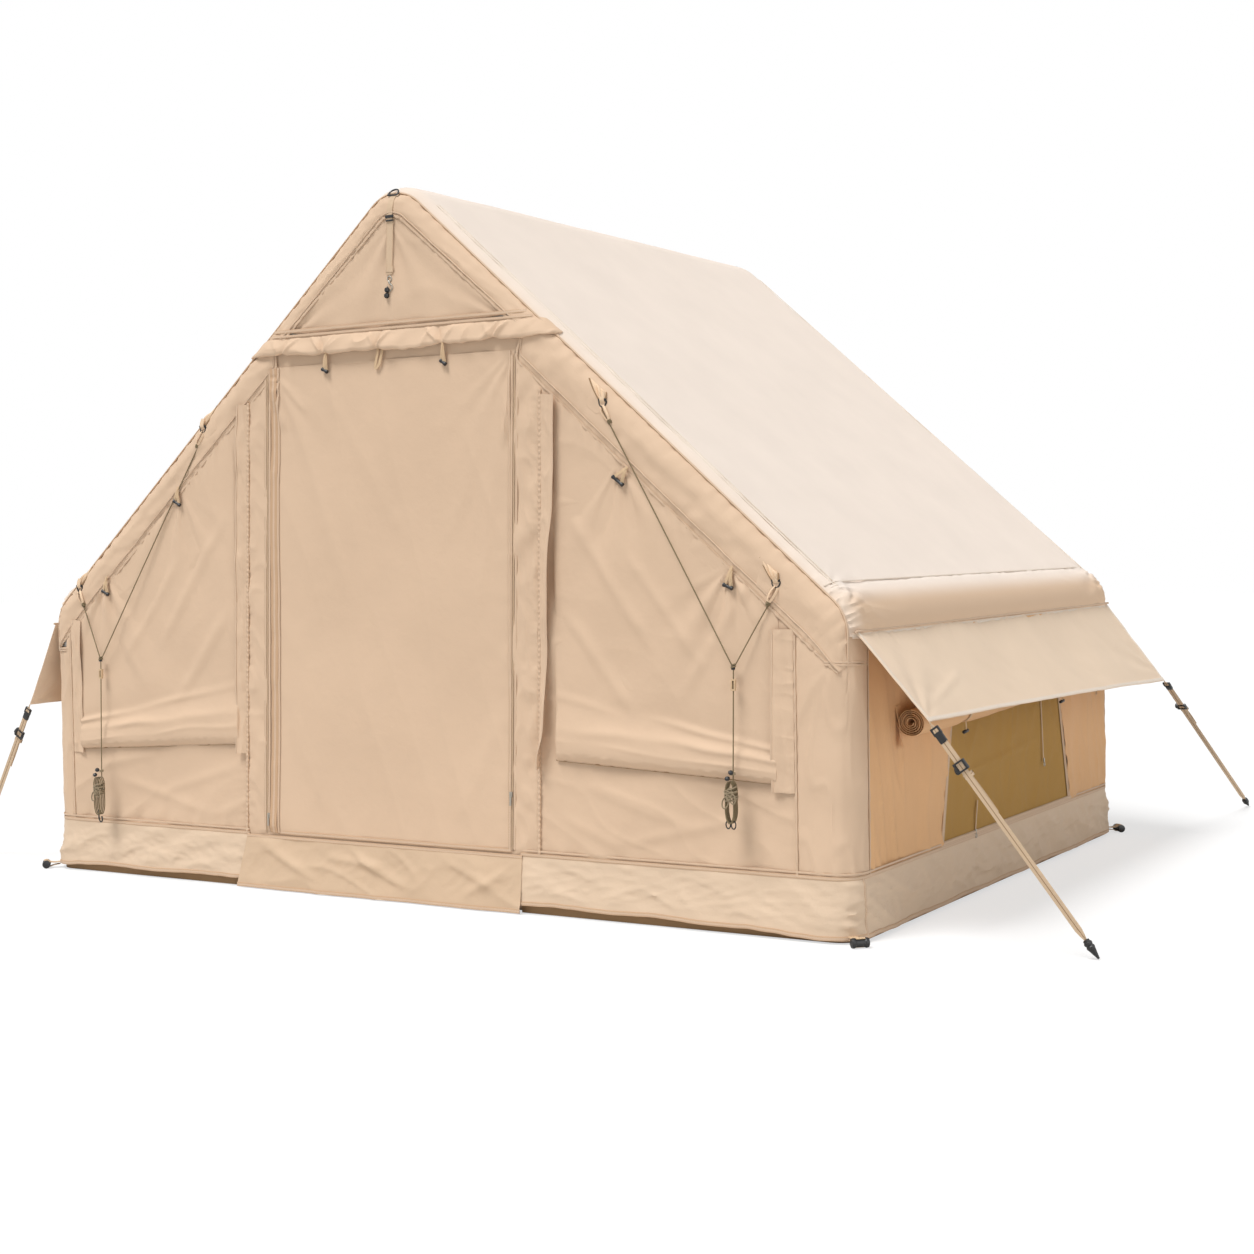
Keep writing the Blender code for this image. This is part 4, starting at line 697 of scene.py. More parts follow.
    clip = Piece(f"bridle_clip_{key}", body, "black_plastic")
    clip.add(block(junction + Vector((0, -0.001, 0.004)), ((1, 0, 0), (0, 1, 0), (0, 0, 1)), (0.010, 0.008, 0.016), 0.0025))
    clip.build()
    share = (0.045 - 0.0033) / (start.z - entry.z)
    centre = start + (entry - start) * share
    fall = (start - entry).normalized()
    slider = Piece(f"line_slider_{key}", f"guy_slider_{key}", "webbing")
    for dx in (-0.0048, 0.0048):
        slider.add(block(centre + Vector((dx, 0, 0)), ((1, 0, 0), Vector((1, 0, 0)).cross(fall), fall), (0.0042, 0.0085, 0.032), 0.0012))
    for dz in (-0.0135, 0.0135):
        for dy in (-0.0034, 0.0034):
            slider.add(block(centre + fall * dz + Vector((0, dy, 0)), ((1, 0, 0), Vector((1, 0, 0)).cross(fall), fall), (0.011, 0.0016, 0.005), 0.0006))
    slider.build(f"guy_slider_{key}")


AWNING_CORNERS = {"left": ((0.112, 0.276), (0.112, 0.290)), "right": ((0.217, 0.229), (0.201, 0.277))}
STRAP_RUNS = {"front": (0.413, 0.109), "rear": (0.080, 0.908)}
PEG = 0.058


def awning_corner(key, end):
    side = SIDES[key]
    reach, drop = AWNING_CORNERS[key][0 if end < 0 else 1]
    return Vector(((HALF_WIDTH + 0.0006 + reach) * side, HALF_DEPTH * end, SEAM_Z - drop))


def strap(key, where):
    side, end = SIDES[key], ENDS[where]
    run_x, run_y = STRAP_RUNS[where]
    corner = awning_corner(key, end)
    ground = Vector((corner.x + run_x * side, corner.y + run_y, 0.003 + GAP))
    axis, length = (ground - corner).normalized(), (ground - corner).length
    across = (Vector((1, 0, 0)) - axis * axis.x).normalized()
    out = axis.cross(across)
    out = out if out.z > 0 else -out
    tag, body = f"{where}_{key}", f"strap_{where}_{key}"
    foot = length - PEG - GAP
    runs = [0.0009, 0.010, 0.016, 0.030] + list(np.linspace(0.05, foot - 0.03, 24)) + [foot - 0.012, foot]
    widths = [0.16, 0.16, 0.55, 0.7] + [1.0] * 24 + [0.7, 0.4]
    path = [corner + axis * d for d in runs]
    # The strap's look paints a dark line of shade down its middle
    band = Piece(f"strap_{tag}", body, "webbing", "strap_band")
    _, first, second = frames(path, out)
    shape = np.array(flat_profile(0.020, 0.0022))
    points = []
    for p, o, b, w in zip(path, first, second, widths):
        points.append(np.array(p) + np.outer(shape[:, 0] * w, b) + np.outer(shape[:, 1] - 0.0008, o))
    index = np.arange(len(path) * len(shape)).reshape(len(path), -1)
    nxt = np.roll(index, -1, axis=1)
    faces = [tuple(q) for q in np.stack([index[:-1], nxt[:-1], nxt[1:], index[1:]], -1).reshape(-1, 4)]
    faces += [tuple(index[0][::-1]), tuple(index[-1])]
    uv = np.stack([np.repeat(runs, len(shape)), np.tile(shape[:, 0], len(path))], -1)
    band.add((np.concatenate(points), faces, uv))
    lock_at = length * 0.19
    band = band.build(f"awning_strap_{tag}")

    extra = Piece(f"strap_fold_{tag}", body, "webbing", "strap_band")
    fold = [corner + axis * d + out * h for d, h in ((0.036, 0.0022), (0.07, 0.0034), (lock_at - 0.02, 0.0042), (lock_at - 0.012, 0.0030))]
    extra.add(sweep(curve_points(fold, 4), out, flat_profile(0.019, 0.0014)))
    tail = [corner + axis * d + out * h for d, h in ((lock_at + 0.018, 0.0030), (lock_at + 0.05, 0.0060), (lock_at + 0.10, 0.0075), (lock_at + 0.15, 0.0062))]
    extra.add(sweep(curve_points(tail, 4), out, flat_profile(0.019, 0.0014)))
    keeper = [corner + axis * (lock_at + 0.030) + across * a + out * b for a, b in ((-0.012, 0.0), (-0.0125, 0.010), (0, 0.0125), (0.0125, 0.010), (0.012, 0.0))]
    extra.add(sweep(curve_points(keeper, 5), out, flat_profile(0.014, 0.0018)))
    extra = extra.build()
    black = Piece(f"strap_buckle_{tag}", body, "black_plastic")
    axes = (across, out, axis)
    black.add(block(corner + axis * 0.050 + out * 0.003, axes, (0.022, 0.011, 0.034), 0.004))
    for dx in (-0.0105, 0.0105):
        black.add(block(corner + axis * 0.031 + across * dx + out * 0.002, axes, (0.005, 0.008, 0.022), 0.002))
    black.add(block(corner + axis * 0.021 + out * 0.002, axes, (0.026, 0.007, 0.006), 0.002))
    black.add(block(corner + axis * 0.068 + out * 0.005, axes, (0.017, 0.007, 0.014), 0.003))
    black = black.build()
    peg = Piece(f"peg_{tag}", body, "black_plastic")
    r = 0.0115
    rows = [(0, 0.005), (0.002, r * 0.78), (0.007, r * 0.78), (0.009, r), (0.014, r), (0.016, r * 0.86), (0.019, r * 0.86), (0.021, r),
            (0.025, r), (0.027, r * 0.9), (0.040, r * 0.62), (0.052, r * 0.36), (PEG, 0.003)]
    peg.add(lathe(corner + axis * (length - PEG), axis, rows, 24, across))
    peg = peg.build(f"ground_peg_{tag}")
    lock = Piece(f"ladder_lock_{tag}", f"lock_{tag}", "black_plastic")
    centre = corner + axis * lock_at
    for dx in (-0.0145, 0.0145):
        lock.add(block(centre + across * dx, axes, (0.007, 0.011, 0.030), 0.0025))
    for d, h, size in ((-0.0125, -0.0035, 0.005), (0.0, 0.0045, 0.007), (0.0125, -0.0035, 0.005)):
        lock.add(block(centre + axis * d + out * h, axes, (0.034, 0.0035, size), 0.0014))
    knob = centre - across * 0.016 - axis * 0.004 + out * 0.006
    lock.add(lathe(knob, axis - across * 0.3, [(0, 0.004), (0.002, 0.0075), (0.008, 0.0085), (0.016, 0.0080), (0.020, 0.0045)], 18, tuple(across)))
    lock.build(f"strap_lock_{tag}")


for key in SIDES:
    guy_line(key)
    for where in ENDS:
        strap(key, where)

# Cloth pieces


def cloth(name, body, slot, points, normals, lift, nodes=(), look=None, thick=0.0012, keep=None,
          blend=None):
    """A sheet raised from the hull by its relief; the size that it was cut to is worked out but not passed on."""
    points = points + normals * np.asarray(lift)[..., None]
    obj = Piece(name, body, slot, look).add(shell(points, normals, thick, keep)).build(*nodes, ride=blend is None)
    if blend:
        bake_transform(obj)
    across = np.linalg.norm(np.diff(points, axis=1), axis=-1)
    down = np.linalg.norm(np.diff(points, axis=0), axis=-1)
    one, two = points[1:, 1:] - points[:-1, :-1], points[:-1, 1:] - points[1:, :-1]
    cells = np.linalg.norm(np.cross(one, two), axis=-1) / 2
    area = float((cells * (keep if keep is not None else 1)).sum())
    width, length = float(across.sum(1).max()) * 1.01, float(down.sum(0).max()) * 1.01
    width = max(width, area / length)
    area = max(area, 0.301 * width * length)
    return obj


def lerp(a, b, t):
    return a + (b - a) * t


def smoothstep(t):
    t = np.clip(t, 0, 1)
    return t * t * (3 - 2 * t)


def gable_grid(near, far, top, foot, cols, rows, end=-1):
    """A grid on a gable between two edges, each a function of z, from the height top(x) down to foot."""
    u = np.linspace(0, 1, cols)[None, :]
    v = np.linspace(0, 1, rows)[:, None]
    x = np.broadcast_to(lerp(near(1.0), far(1.0), u), (rows, cols)).astype(float)
    for _ in range(4):
        z = lerp(top(x), foot, v)
        x = lerp(near(z), far(z), u)
    points, normals = gable(x, z, end)
    return x, z, points, normals


def front_path(route, lift=0.0, step=0.012):
    """Points and normals on the front gable along a route of (x, z)."""
    route = np.asarray(route, float)
    spans = np.linalg.norm(np.diff(route, axis=0), axis=1)
    run = np.concatenate([[0], np.cumsum(spans)])
    t = np.linspace(0, run[-1], max(3, int(run[-1] / step)))
    x, z = np.interp(t, run, route[:, 0]), np.interp(t, run, route[:, 1])
    points, normals = gable(x, z)
    return points + normals * lift, normals


SEAM = flat_profile(0.011, 0.0011, 0.0005)
PIPE = round_profile(0.0034, 8)
seams = Piece("sewn_seams", "tent", "wall_cloth", "seam")
piping = Piece("edge_piping", "tent", "wall_cloth", "seam")
roof_seams = Piece("roof_seams", "tent", "roof_cloth", "seam_light")


def band(s, end=-1):
    """Width of a sleeve's face on the gable at the arc length s."""
    a = np.abs(s)
    apex = lerp(BAND_APEX, BAND_HOOD, np.clip(a / slope_s(1.76), 0, 1))
    side = np.where(np.asarray(s) < 0, BANDS["left"], BANDS["right"])
    return lerp(apex, side, smoothstep((a - slope_s(1.77)) / 0.05))


SLEEVE_END = wall_s(0.752)


def sleeve_lines(s, end=-1):
    """X and Z of the piping and of the inner seam of a sleeve, on the gable."""
    px, pz, nx, nz = section(s)
    drop = EDGE * (1 - math.cos(math.pi / 4))
    ox, oz = px - nx * drop, pz - nz * drop
    width = band(s)
    ix, iz = px - nx * width, pz - nz * width
    side = np.sign(s)
    start, foot = EAVE_START - 0.01, SLEEVE_END
    share = np.clip((np.abs(s) - start) / (foot - start), 0, 1)
    bx, bz, bnx, bnz = section(start * np.where(side == 0, 1, side))
    sx, sz = bx - bnx * width, bz - bnz * width
    tx = 1.456 * side
    tz = slope_z(tx, width)
    late = np.abs(s) > start
    return ox, oz, np.where(late, lerp(sx, tx, share), ix), np.where(late, lerp(sz, tz, share), iz)


def sleeve(name, end, node_name):
    s = np.linspace(-SLEEVE_END, SLEEVE_END, 420)
    ox, oz, ix, iz = sleeve_lines(s)
    t = np.linspace(0, 1, 14)[None, :]
    x, z = lerp(ox[:, None], ix[:, None], t), lerp(oz[:, None], iz[:, None], t)
    points, normals = gable(x, z, end)
    edge = np.minimum(t, 1 - t)
    long = np.abs(s[:, None]) * 0.30
    lift = pucker(t * 0.10, s[:, None], 3 + end, 0.0024, 0.030, 0.030) + pucker((1 - t) * 0.10, s[:, None], 9 + end, 0.0026, 0.030, 0.025)
    lift = lift + 0.0034 * np.sin(math.pi * t) ** 0.7 + 0.0016 * waves(21 + end, long, t * 0.14, 0.07) * np.minimum(1, edge * 8)
    lift = lift + 0.0020 * ridges(24 + end, np.abs(s[:, None]) * 0.5 + t * 0.10, t * 0.14, 0.055) * np.minimum(1, edge * 8)
    lift = lift + 0.0016 * np.exp(-(((t - 0.36) / 0.030) ** 2)) * (np.abs(s[:, None]) > slope_s(1.70))
    corner_part = np.exp(-(((np.abs(s[:, None]) - 1.99) / 0.075) ** 2))
    lift = lift + 0.0050 * corner_part * ridges(26 + end, s[:, None], t * 0.04, 0.026) * np.exp(-t / 0.35)
    for spot in (0.95, 1.30, 1.62):
        for way in (-1, 1):
            centre = (way * float(slope_x(slope_z(0, 0) - spot * SIN, 0.14)), float(slope_z(0, 0) - spot * SIN))
            lift = lift + fan(x, z, centre, 0.13, 3.5, 0.0032, -180, 180) * np.minimum(1, edge * 6)
    cloth(name, "tent", "wall_cloth", points, normals, lift, [node_name])
    p, n = gable(ox, oz, end)
    piping.add(sweep(p + n * 0.0022, n, PIPE))
    for column, off, wide in ((-1, 0.0018, 0.0085), (-3, 0.0008, 0.0036)):
        p, n = points[:, column], normals[:, column]
        seams.add(sweep(p + n * (lift[:, column] + off)[:, None], n, flat_profile(wide, 0.0016, 0.0006)))


for end_name, end in ENDS.items():
    sleeve(f"sleeve_{end_name}", end, f"{end_name}_arch_sleeve")

# Roof
eave_rows = np.linspace(1.80, EAVE_END + 0.004, 64)
s = np.concatenate([-eave_rows[::-1], np.linspace(-1.80, 1.80, 170)[1:-1], eave_rows])[:, None]
edge_cols = np.linspace(PIPING_W - 0.13, PIPING_W, 30)
w = np.concatenate([-edge_cols[::-1], np.linspace(0.13 - PIPING_W, PIPING_W - 0.13, 100)[1:-1], edge_cols])[None, :]
roof_points, roof_normals = hull(s, w)
to_edge = PIPING_W - np.abs(w)
to_eave = EAVE_END - np.abs(s)
lift = 0.0016 * waves(5, s, w, 0.9, stretch=0.5) + 0.0007 * waves(6, s, w, 0.22)
lift = lift + pucker(to_edge, s, 7, 0.0020, 0.060, 0.035) + 0.0025 * smoothstep(to_edge / 0.03)
eave = np.clip((np.abs(s) - 1.873) / (EAVE_END - 1.873), 0, 1)
lift = lift + 0.008 * np.sin(math.pi * eave) ** 0.7 * smoothstep(to_edge / 0.05)
lift = lift - 0.0012 * np.exp(-(((np.abs(s) - 1.873) / 0.006) ** 2))
gather = np.exp(-(((np.abs(s) - 1.955) / 0.085) ** 2)) * np.exp(-to_edge / 0.045) * smoothstep(to_edge / 0.006)
lift = lift + np.where(w < 0, 0.0095, 0.0040) * gather * ridges(11, s, to_edge * 0.35, 0.020)
lift = lift + 0.0030 * ridges(12, s - w * 0.35, w * 0.5, 0.075) * np.clip(eave * 3, 0, 1) * np.exp(-to_edge / 0.35)
lift = lift + pucker(np.abs(s) - 1.873, w, 8, 0.0016, 0.07, 0.03) * (to_edge > 0.01)
for side in (-1, 1):
    for end in (-1, 1):
        lift = lift + fan(w * -end, s * side, (PIPING_W - 0.005, 1.885), 0.22, 4.0, 0.0030, 120, 215)
        lift = lift + fan(w * -end, s * side, (PIPING_W - 0.01, 1.96), 0.20, 3.0, 0.0030, 150, 240)
lift = lift * smoothstep((to_edge + 0.002) / 0.01)
cloth("roof_cloth", "tent", "roof_cloth", roof_points, roof_normals, lift, ["roof"])
y = np.linspace(-EDGE_LINE, EDGE_LINE, 200)
for side in (-1, 1):
    for at, wide, off in ((1.868, 0.004, 0.0016), (EAVE_END + 0.002, 0.014, 0.0045)):
        w_line = np.linspace(-PIPING_W + 0.012, PIPING_W - 0.012, 200)
        p, n = hull(np.full(200, at * side), w_line)
        roof_seams.add(sweep(p + n * off, n, flat_profile(wide, 0.0016, 0.0007)))
for off in (0.040, 0.052):
    for way in (-1, 1):
        for end in (-1, 1):
            s_line = np.linspace(0.15, EAVE_START + 0.02, 260) * way
            p, n = hull(s_line, np.full(260, (PIPING_W - off) * end))
            roof_seams.add(sweep(p + n * 0.0022, n, flat_profile(0.004, 0.0016, 0.0004)))

# Gable panels, walls and columns
HOOD_LINE = 1.742


def gable_inner(side, end=-1):
    """Edge of the sleeve's seam as a function of z."""
    def edge(z):
        z = np.asarray(z, float)
        narrow = slope_x(z, lerp(BAND_HOOD, BAND_APEX, np.clip((z - 1.76) / 0.32, 0, 1)))
        wide = slope_x(z, BANDS["left" if side < 0 else "right"])
        x = np.where(z > 1.752, narrow, wide)
        return np.maximum(x, 0.002) * side
    return edge


x, z, points, normals = gable_grid(gable_inner(-1), gable_inner(1), lambda x: 2.076 - 0 * x, 1.742, 90, 40)
lift = 0.0026 * waves(31, x, z, 0.28) + fan(x, z, (0.0, 2.06), 0.45, 3.5, 0.0040, -140, -40) + 0.0012 * ridges(33, x, z, 0.16)
lift = lift + fan(x, z, (-0.42, 1.745), 0.25, 3, 0.0030, 10, 70) + fan(x, z, (0.41, 1.745), 0.25, 3, 0.0030, 110, 170)
cloth("gable_top", "tent", "wall_cloth", points, normals, lift - 0.001, ["gable_panel"])
x, z, points, normals = gable_grid(lambda z: -0.60 + 0 * z, lambda z: 0.60 + 0 * z, lambda x: np.minimum(1.745, slope_z(x, 0.05)), 1.650, 100, 12)
cloth("gable_lintel", "tent", "wall_cloth", points, normals, 0.0010 * waves(32, x, z, 0.2) - 0.0015)

COLUMN_X = {"left": 1.405, "right": 1.332}
for key, side in SIDES.items():
    near = (lambda z, key=key: line_x("zip_" + key, z))
    far = (lambda z, side=side, key=key: side * COLUMN_X[key] + 0 * np.asarray(z))
    top = (lambda x, key=key: np.minimum(1.66, slope_z(x, BANDS[key])))
    x, z, points, normals = gable_grid(near, far, top, 0.012, 150, 190)
    to_zip = np.abs(x - line_x("zip_" + key, z))
    to_bead = np.abs(x - line_x("bead_" + key, z))
    strip = smoothstep(to_zip / 0.01) * smoothstep(((np.abs(line_x("bead_" + key, z)) - np.abs(x)) + 0.01) / 0.02)
    lift = strip * (0.0022 * waves(41 + side, x * 0.8, z * 0.5, 0.070, 9) + 0.0030 * ridges(43 + side, x, z * 0.6 + x, 0.045) + 0.002)
    free = 1 - strip
    lift = lift + free * (0.0050 * waves(45 + side, x, z, 0.42) + 0.0020 * ridges(46 + side, x * 0.5 + z * 0.3, z, 0.13) - 0.001)
    lift = lift + pucker(z - 0.172, x, 47 + side, 0.0034, 0.06, 0.05) * free
    lift = lift + pucker(to_bead, z, 48 + side, 0.0022, 0.030, 0.022)
    for one, two in (((0.62, 0.40), (1.05, 0.27)), ((0.75, 0.22), (1.22, 0.33)), ((0.56, 0.30), (0.80, 0.21)), ((1.00, 0.42), (1.30, 0.36))):
        lift = lift + crease(np.abs(x), z, one, two, 0.018, 0.0032)
    lift = lift + pucker(np.abs(x) - COLUMN_X[key], z, 49 + side, 0.0014, 0.06, 0.03)
    lift = lift * smoothstep(to_bead / 0.007) * smoothstep((COLUMN_X[key] - np.abs(x)) / 0.012) * smoothstep((z - 0.172) / 0.016)
    cloth(f"wall_front_{key}", "tent", "wall_cloth", points, normals, lift, [f"front_wall_{key}"])

REAR_COLUMN_X = 1.36


def rear_edge(side):
    """Edge of the rear wall as a function of z, just under the rear sleeve."""
    def edge(z):
        z = np.asarray(z, float)
        wide = BANDS["left" if side < 0 else "right"]
        narrow = lerp(BAND_HOOD, BAND_APEX, np.clip((z - 1.76) / 0.32, 0, 1))
        inset = lerp(wide, narrow, np.clip((z - 1.600) / 0.085, 0, 1)) - 0.012
        return np.clip(slope_x(z, inset), 0.002, REAR_COLUMN_X) * side
    return edge


x, z, points, normals = gable_grid(rear_edge(-1), rear_edge(1), lambda x: 2.078 + 0 * x, 0.012, 150, 120, 1)
lift = 0.0036 * waves(51, x, z, 0.45) + 0.0018 * ridges(52, x + z * 0.4, z * 0.6, 0.16) + pucker(z - 0.172, x, 53, 0.002, 0.06, 0.05)
to_sleeve = np.minimum(rear_edge(1)(z) - x, x - rear_edge(-1)(z))
lift = lerp(-0.0022, lift * smoothstep((z - 0.172) / 0.016), smoothstep((to_sleeve - 0.006) / 0.016))
cloth("wall_rear", "tent", "wall_cloth", points, normals, lift, ["rear_wall"])

for key, side in SIDES.items():
    for end_name, end in ENDS.items():
        seam_x = COLUMN_X[key] if end < 0 else REAR_COLUMN_X
        seam_y = 1.030 if end < 0 else 1.085
        w = np.linspace(seam_y, FLAT_W + HALF_WIDTH - EDGE - seam_x, 46)[None, :]
        front_x = HALF_WIDTH - EDGE - np.clip(w - FLAT_W, 0, None)
        top = np.where(w < PIPING_W, 0.829, np.minimum(0.829, np.where(w < FLAT_W, 0.762, slope_z(front_x, BANDS[key]) + 0.012)))
        z = lerp(top, 0.012, np.linspace(0, 1, 90)[:, None])
        points, normals = hull(wall_s(z) * side, w * end + 0 * z)
        lift = 0.0026 * waves(61 + side, w + 0 * z, z * 0.35, 0.12) + (0.0022 - 0.0010 * end) * ridges(62 + end, w + z * 0.15, z * 0.30, 0.060)
        lift = lift + crease(w + 0 * z, z, (1.13, 0.75), (1.14, 0.14), 0.012, 0.0016)
        lift = lift + pucker(z - 0.172, w + 0 * z, 63 + side, 0.0022, 0.05, 0.05)
        if end < 0:
            lift = lift + fan(w + 0 * z, z, (1.16, 0.745), 0.16, 3, 0.0022, -160, -20)
        lift = (lift + 0.0006) * smoothstep((top - 0.005 - z) / 0.06 + 0.15) * smoothstep((z - 0.172) / 0.016)
        lift = lift * smoothstep(np.minimum(w - w.min(), w.max() - w) / 0.012)
        cloth(f"column_{end_name}_{key}", "tent", "wall_cloth", points, normals, lift)
        for at in (seam_y, FLAT_W + HALF_WIDTH - EDGE - seam_x):
            x_at = HALF_WIDTH - EDGE - max(at - FLAT_W, 0)
            high = 0.829 if at < PIPING_W else min(0.829, float(slope_z(x_at, BANDS[key])))
            line = np.linspace(high, 0.172, 60)
            p, n = hull(wall_s(line) * side, np.full(60, at * end))
            size = 1 + 0.22 * np.sin(line * 2 * math.pi / 0.014)
            seams.add(sweep(p + n * 0.001, n, flat_profile(0.0062, 0.0022, 0.0006), scale=size))
        if end < 0:
            level = np.linspace(seam_y, FLAT_W + 0.004, 40)
            p, n = hull(wall_s(0.7560 + 0.012 * (level - seam_y)) * side, level * end)
            for rise in (0.0, -0.007):
                seams.add(sweep(p + n * 0.0022 + np.array([0, 0, rise]), n, flat_profile(0.0046, 0.0020, 0.0005)))

# Side walls with their windows
WINDOW = {"foot": (-0.513, 0.667, 0.178), "head": (-0.401, 0.525, 0.660)}
for key, side in SIDES.items():
    heads, feet = WINDOW["head"], WINDOW["foot"]
    rows = np.concatenate([np.linspace(0.8295, heads[2], 22), np.linspace(heads[2], feet[2], 50)[1:], np.linspace(feet[2], 0.012, 16)[1:]])
    share = np.clip((rows - feet[2]) / (heads[2] - feet[2]), 0, 1)
    low, high = lerp(feet[0], heads[0], share), lerp(feet[1], heads[1], share)
    y = np.concatenate([lerp(-1.032, low[:, None], np.linspace(0, 1, 50)[None]), lerp(low[:, None], high[:, None], np.linspace(0, 1, 70)[None, 1:]),
                        lerp(high[:, None], 1.086, np.linspace(0, 1, 40)[None, 1:])], 1)
    z = np.broadcast_to(rows[:, None], y.shape)
    points, normals = hull(wall_s(z) * side, y)
    keep = np.ones((y.shape[0] - 1, y.shape[1] - 1), bool)
    keep[21:70, 49:118] = False
    hole = np.maximum(np.maximum(low[:, None] - y, y - high[:, None]), np.maximum(z - heads[2], feet[2] - z))
    lift = 0.0040 * waves(71 + side, y, z * 0.6, 0.30) + 0.0060 * ridges(72, y + z * 0.25, z * 0.35, 0.085)
    lift = lift + pucker(z - 0.172, y, 73, 0.0034, 0.05, 0.05) + pucker(hole, y + z, 74, 0.0022, 0.05, 0.03)
    lift = lift * smoothstep((z - 0.172) / 0.016) * smoothstep((y + 1.032) / 0.02) * smoothstep((1.086 - y) / 0.02)
    # The side wall takes the side cloth, whose tone is painted shade
    cloth(f"wall_side_{key}", "tent", "side_cloth", points, normals, lift, [f"side_wall_{key}"], keep=keep)
    loop = [(feet[0], feet[2]), (heads[0], heads[2]), (heads[1], heads[2]), (feet[1], feet[2])]
    for (y0, z0), (y1, z1) in zip(loop, loop[1:] + loop[:1]):
        t = np.linspace(0, 1, 50)
        p, n = hull(wall_s(lerp(z0, z1, t)) * side, lerp(y0, y1, t))
        seams.add(sweep(p + n * 0.001, n, flat_profile(0.014, 0.0022, 0.0006)))
    v, u = np.linspace(0, 1, 60)[:, None], np.linspace(0, 1, 90)[None, :]
    z = lerp(heads[2], feet[2], v) + 0 * u
    share = (z - feet[2]) / (heads[2] - feet[2])
    y = lerp(lerp(feet[0], heads[0], share), lerp(feet[1], heads[1], share), u)
    points, normals = hull(wall_s(z) * side, y)
    border = np.minimum(np.minimum(u, 1 - u), np.minimum(v, 1 - v))
    lift = 0.0034 * waves(75, y, z, 0.30) + 0.0050 * ridges(76, y + z * 0.4, z * 0.5, 0.10) + crease(y, z, (-0.42, 0.36), (0.40, 0.42), 0.014, 0.007)
    lift = (lift + crease(y, z, (0.12, 0.64), (0.05, 0.22), 0.012, 0.006) - 0.006) * smoothstep(border * 12) - 0.0012
    cloth(f"window_screen_{key}", "tent", "insect_screen", points, normals, lift, [f"side_mesh_{key}"], thick=0.0006)

# Door, hood, strips and zips

DOOR_BEND = ("tent", "door", (0, FRONT, 1.612), (0, FRONT, 1.588))
x, z, points, normals = gable_grid(lambda z: line_x("zip_left", z), lambda z: line_x("zip_right", z), lambda x: 1.655 + 0 * x, 0.158, 130, 200)
top = np.clip((1.655 - z) / 0.9, 0, 1)
lift = 0.0048 * waves(81, x, z, 0.55, stretch=0.7) + 0.0022 * ridges(82, x + z * 0.3, z * 0.6, 0.20) + 0.001
for one, two, wide, high in (((-0.44, 1.60), (-0.16, 0.86), 0.030, 0.0030), ((-0.30, 1.64), (0.08, 1.02), 0.026, 0.0022),
                             ((0.41, 1.60), (0.16, 1.05), 0.028, 0.0030), ((0.40, 1.52), (0.28, 0.80), 0.024, 0.0024),
                             ((-0.47, 0.60), (-0.28, 0.22), 0.028, 0.0026), ((0.38, 0.62), (0.20, 0.24), 0.030, 0.0026),
                             ((0.437, 1.64), (0.395, 1.36), 0.010, 0.0120), ((-0.485, 1.63), (-0.43, 1.44), 0.012, 0.0080),
                             ((-0.46, 1.62), (-0.34, 1.50), 0.010, 0.0045)):
    lift = lift + crease(x, z, one, two, wide, high)
lift = lift + fan(x, z, (0.44, 1.66), 0.30, 3.0, 0.0022, -150, -95) + fan(x, z, (-0.50, 1.66), 0.28, 3.0, 0.0026, -85, -30)
to_side = np.minimum(x - line_x("zip_left", z), line_x("zip_right", z) - x)
lift = lift + pucker(to_side, z, 83, 0.0018, 0.05, 0.03) + pucker(z - 0.178, x, 84, 0.0016, 0.07, 0.03)
lift = lift * smoothstep(to_side / 0.03 + 0.05) * smoothstep((z - 0.165) / 0.04)
cloth("door_cloth", "door", "wall_cloth", points, normals, lift, ["door_panel"], blend=DOOR_BEND)


door_lift = np.broadcast_to(lift, x.shape)


def door_line(key, off, high, low, lift):
    """A line on the door's cloth beside one of its seams, raised by lift."""
    zz = np.linspace(high, low, 300)
    rows = np.clip((1.655 - zz) / (1.655 - 0.158) * 199, 0, 199)
    left, right = line_x("zip_left", zz), line_x("zip_right", zz)
    cols = np.clip((line_x(key, zz) + off - left) / (right - left), 0, 1) * 129
    out = gable(line_x(key, zz) + off, zz)[1]
    height = door_lift[np.rint(rows).astype(int), np.rint(cols).astype(int)]
    return gable(line_x(key, zz) + off, zz)[0] + out * (height + lift)[:, None], out


door_trim = Piece("door_seams", "door", "wall_cloth", "seam")
for key, off, wide in (("door_left", 0.0, 0.008), ("door_right", 0.0, 0.008)):
    p, n = door_line(key, off, 1.654, 0.182, 0.0012)
    door_trim.add(sweep(p, n, flat_profile(wide, 0.0016, 0.0006)))
p, n = door_line("door_left", -0.018, 1.652, 0.182, 0.0014)
door_trim.add(sweep(p, n, flat_profile(0.028, 0.0016, 0.0)))
route = [(-0.50, 0.183), (0.395, 0.183)]
p, n = front_path(route, 0.001)
door_trim.add(sweep(p, n, flat_profile(0.012, 0.0018, 0.0006)))
door_trim = door_trim.build(ride=False)
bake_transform(door_trim)

zips = Piece("door_zips", "door", "wall_cloth", "zip_coil")
tapes = Piece("zip_tapes", "door", "wall_cloth", "seam")
for key, side in SIDES.items():
    for off in (-0.0085, 0.0085):
        p, n = door_line("zip_" + key, off, 1.640, 0.186, 0.0016)
        tapes.add(sweep(p, n, flat_profile(0.0085, 0.0018, 0.0)))
    p, n = door_line("zip_" + key, 0.0, 1.640, 0.186, 0.0016)
    run = np.linspace(0, 1, len(p))
    zips.add(sweep(p, n, flat_profile(0.0042, 0.0022, 0.0008), scale=1 + 0.10 * np.sin(run * 2 * math.pi * 240)))
for part in (zips, tapes):
    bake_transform(part.build(ride=False))

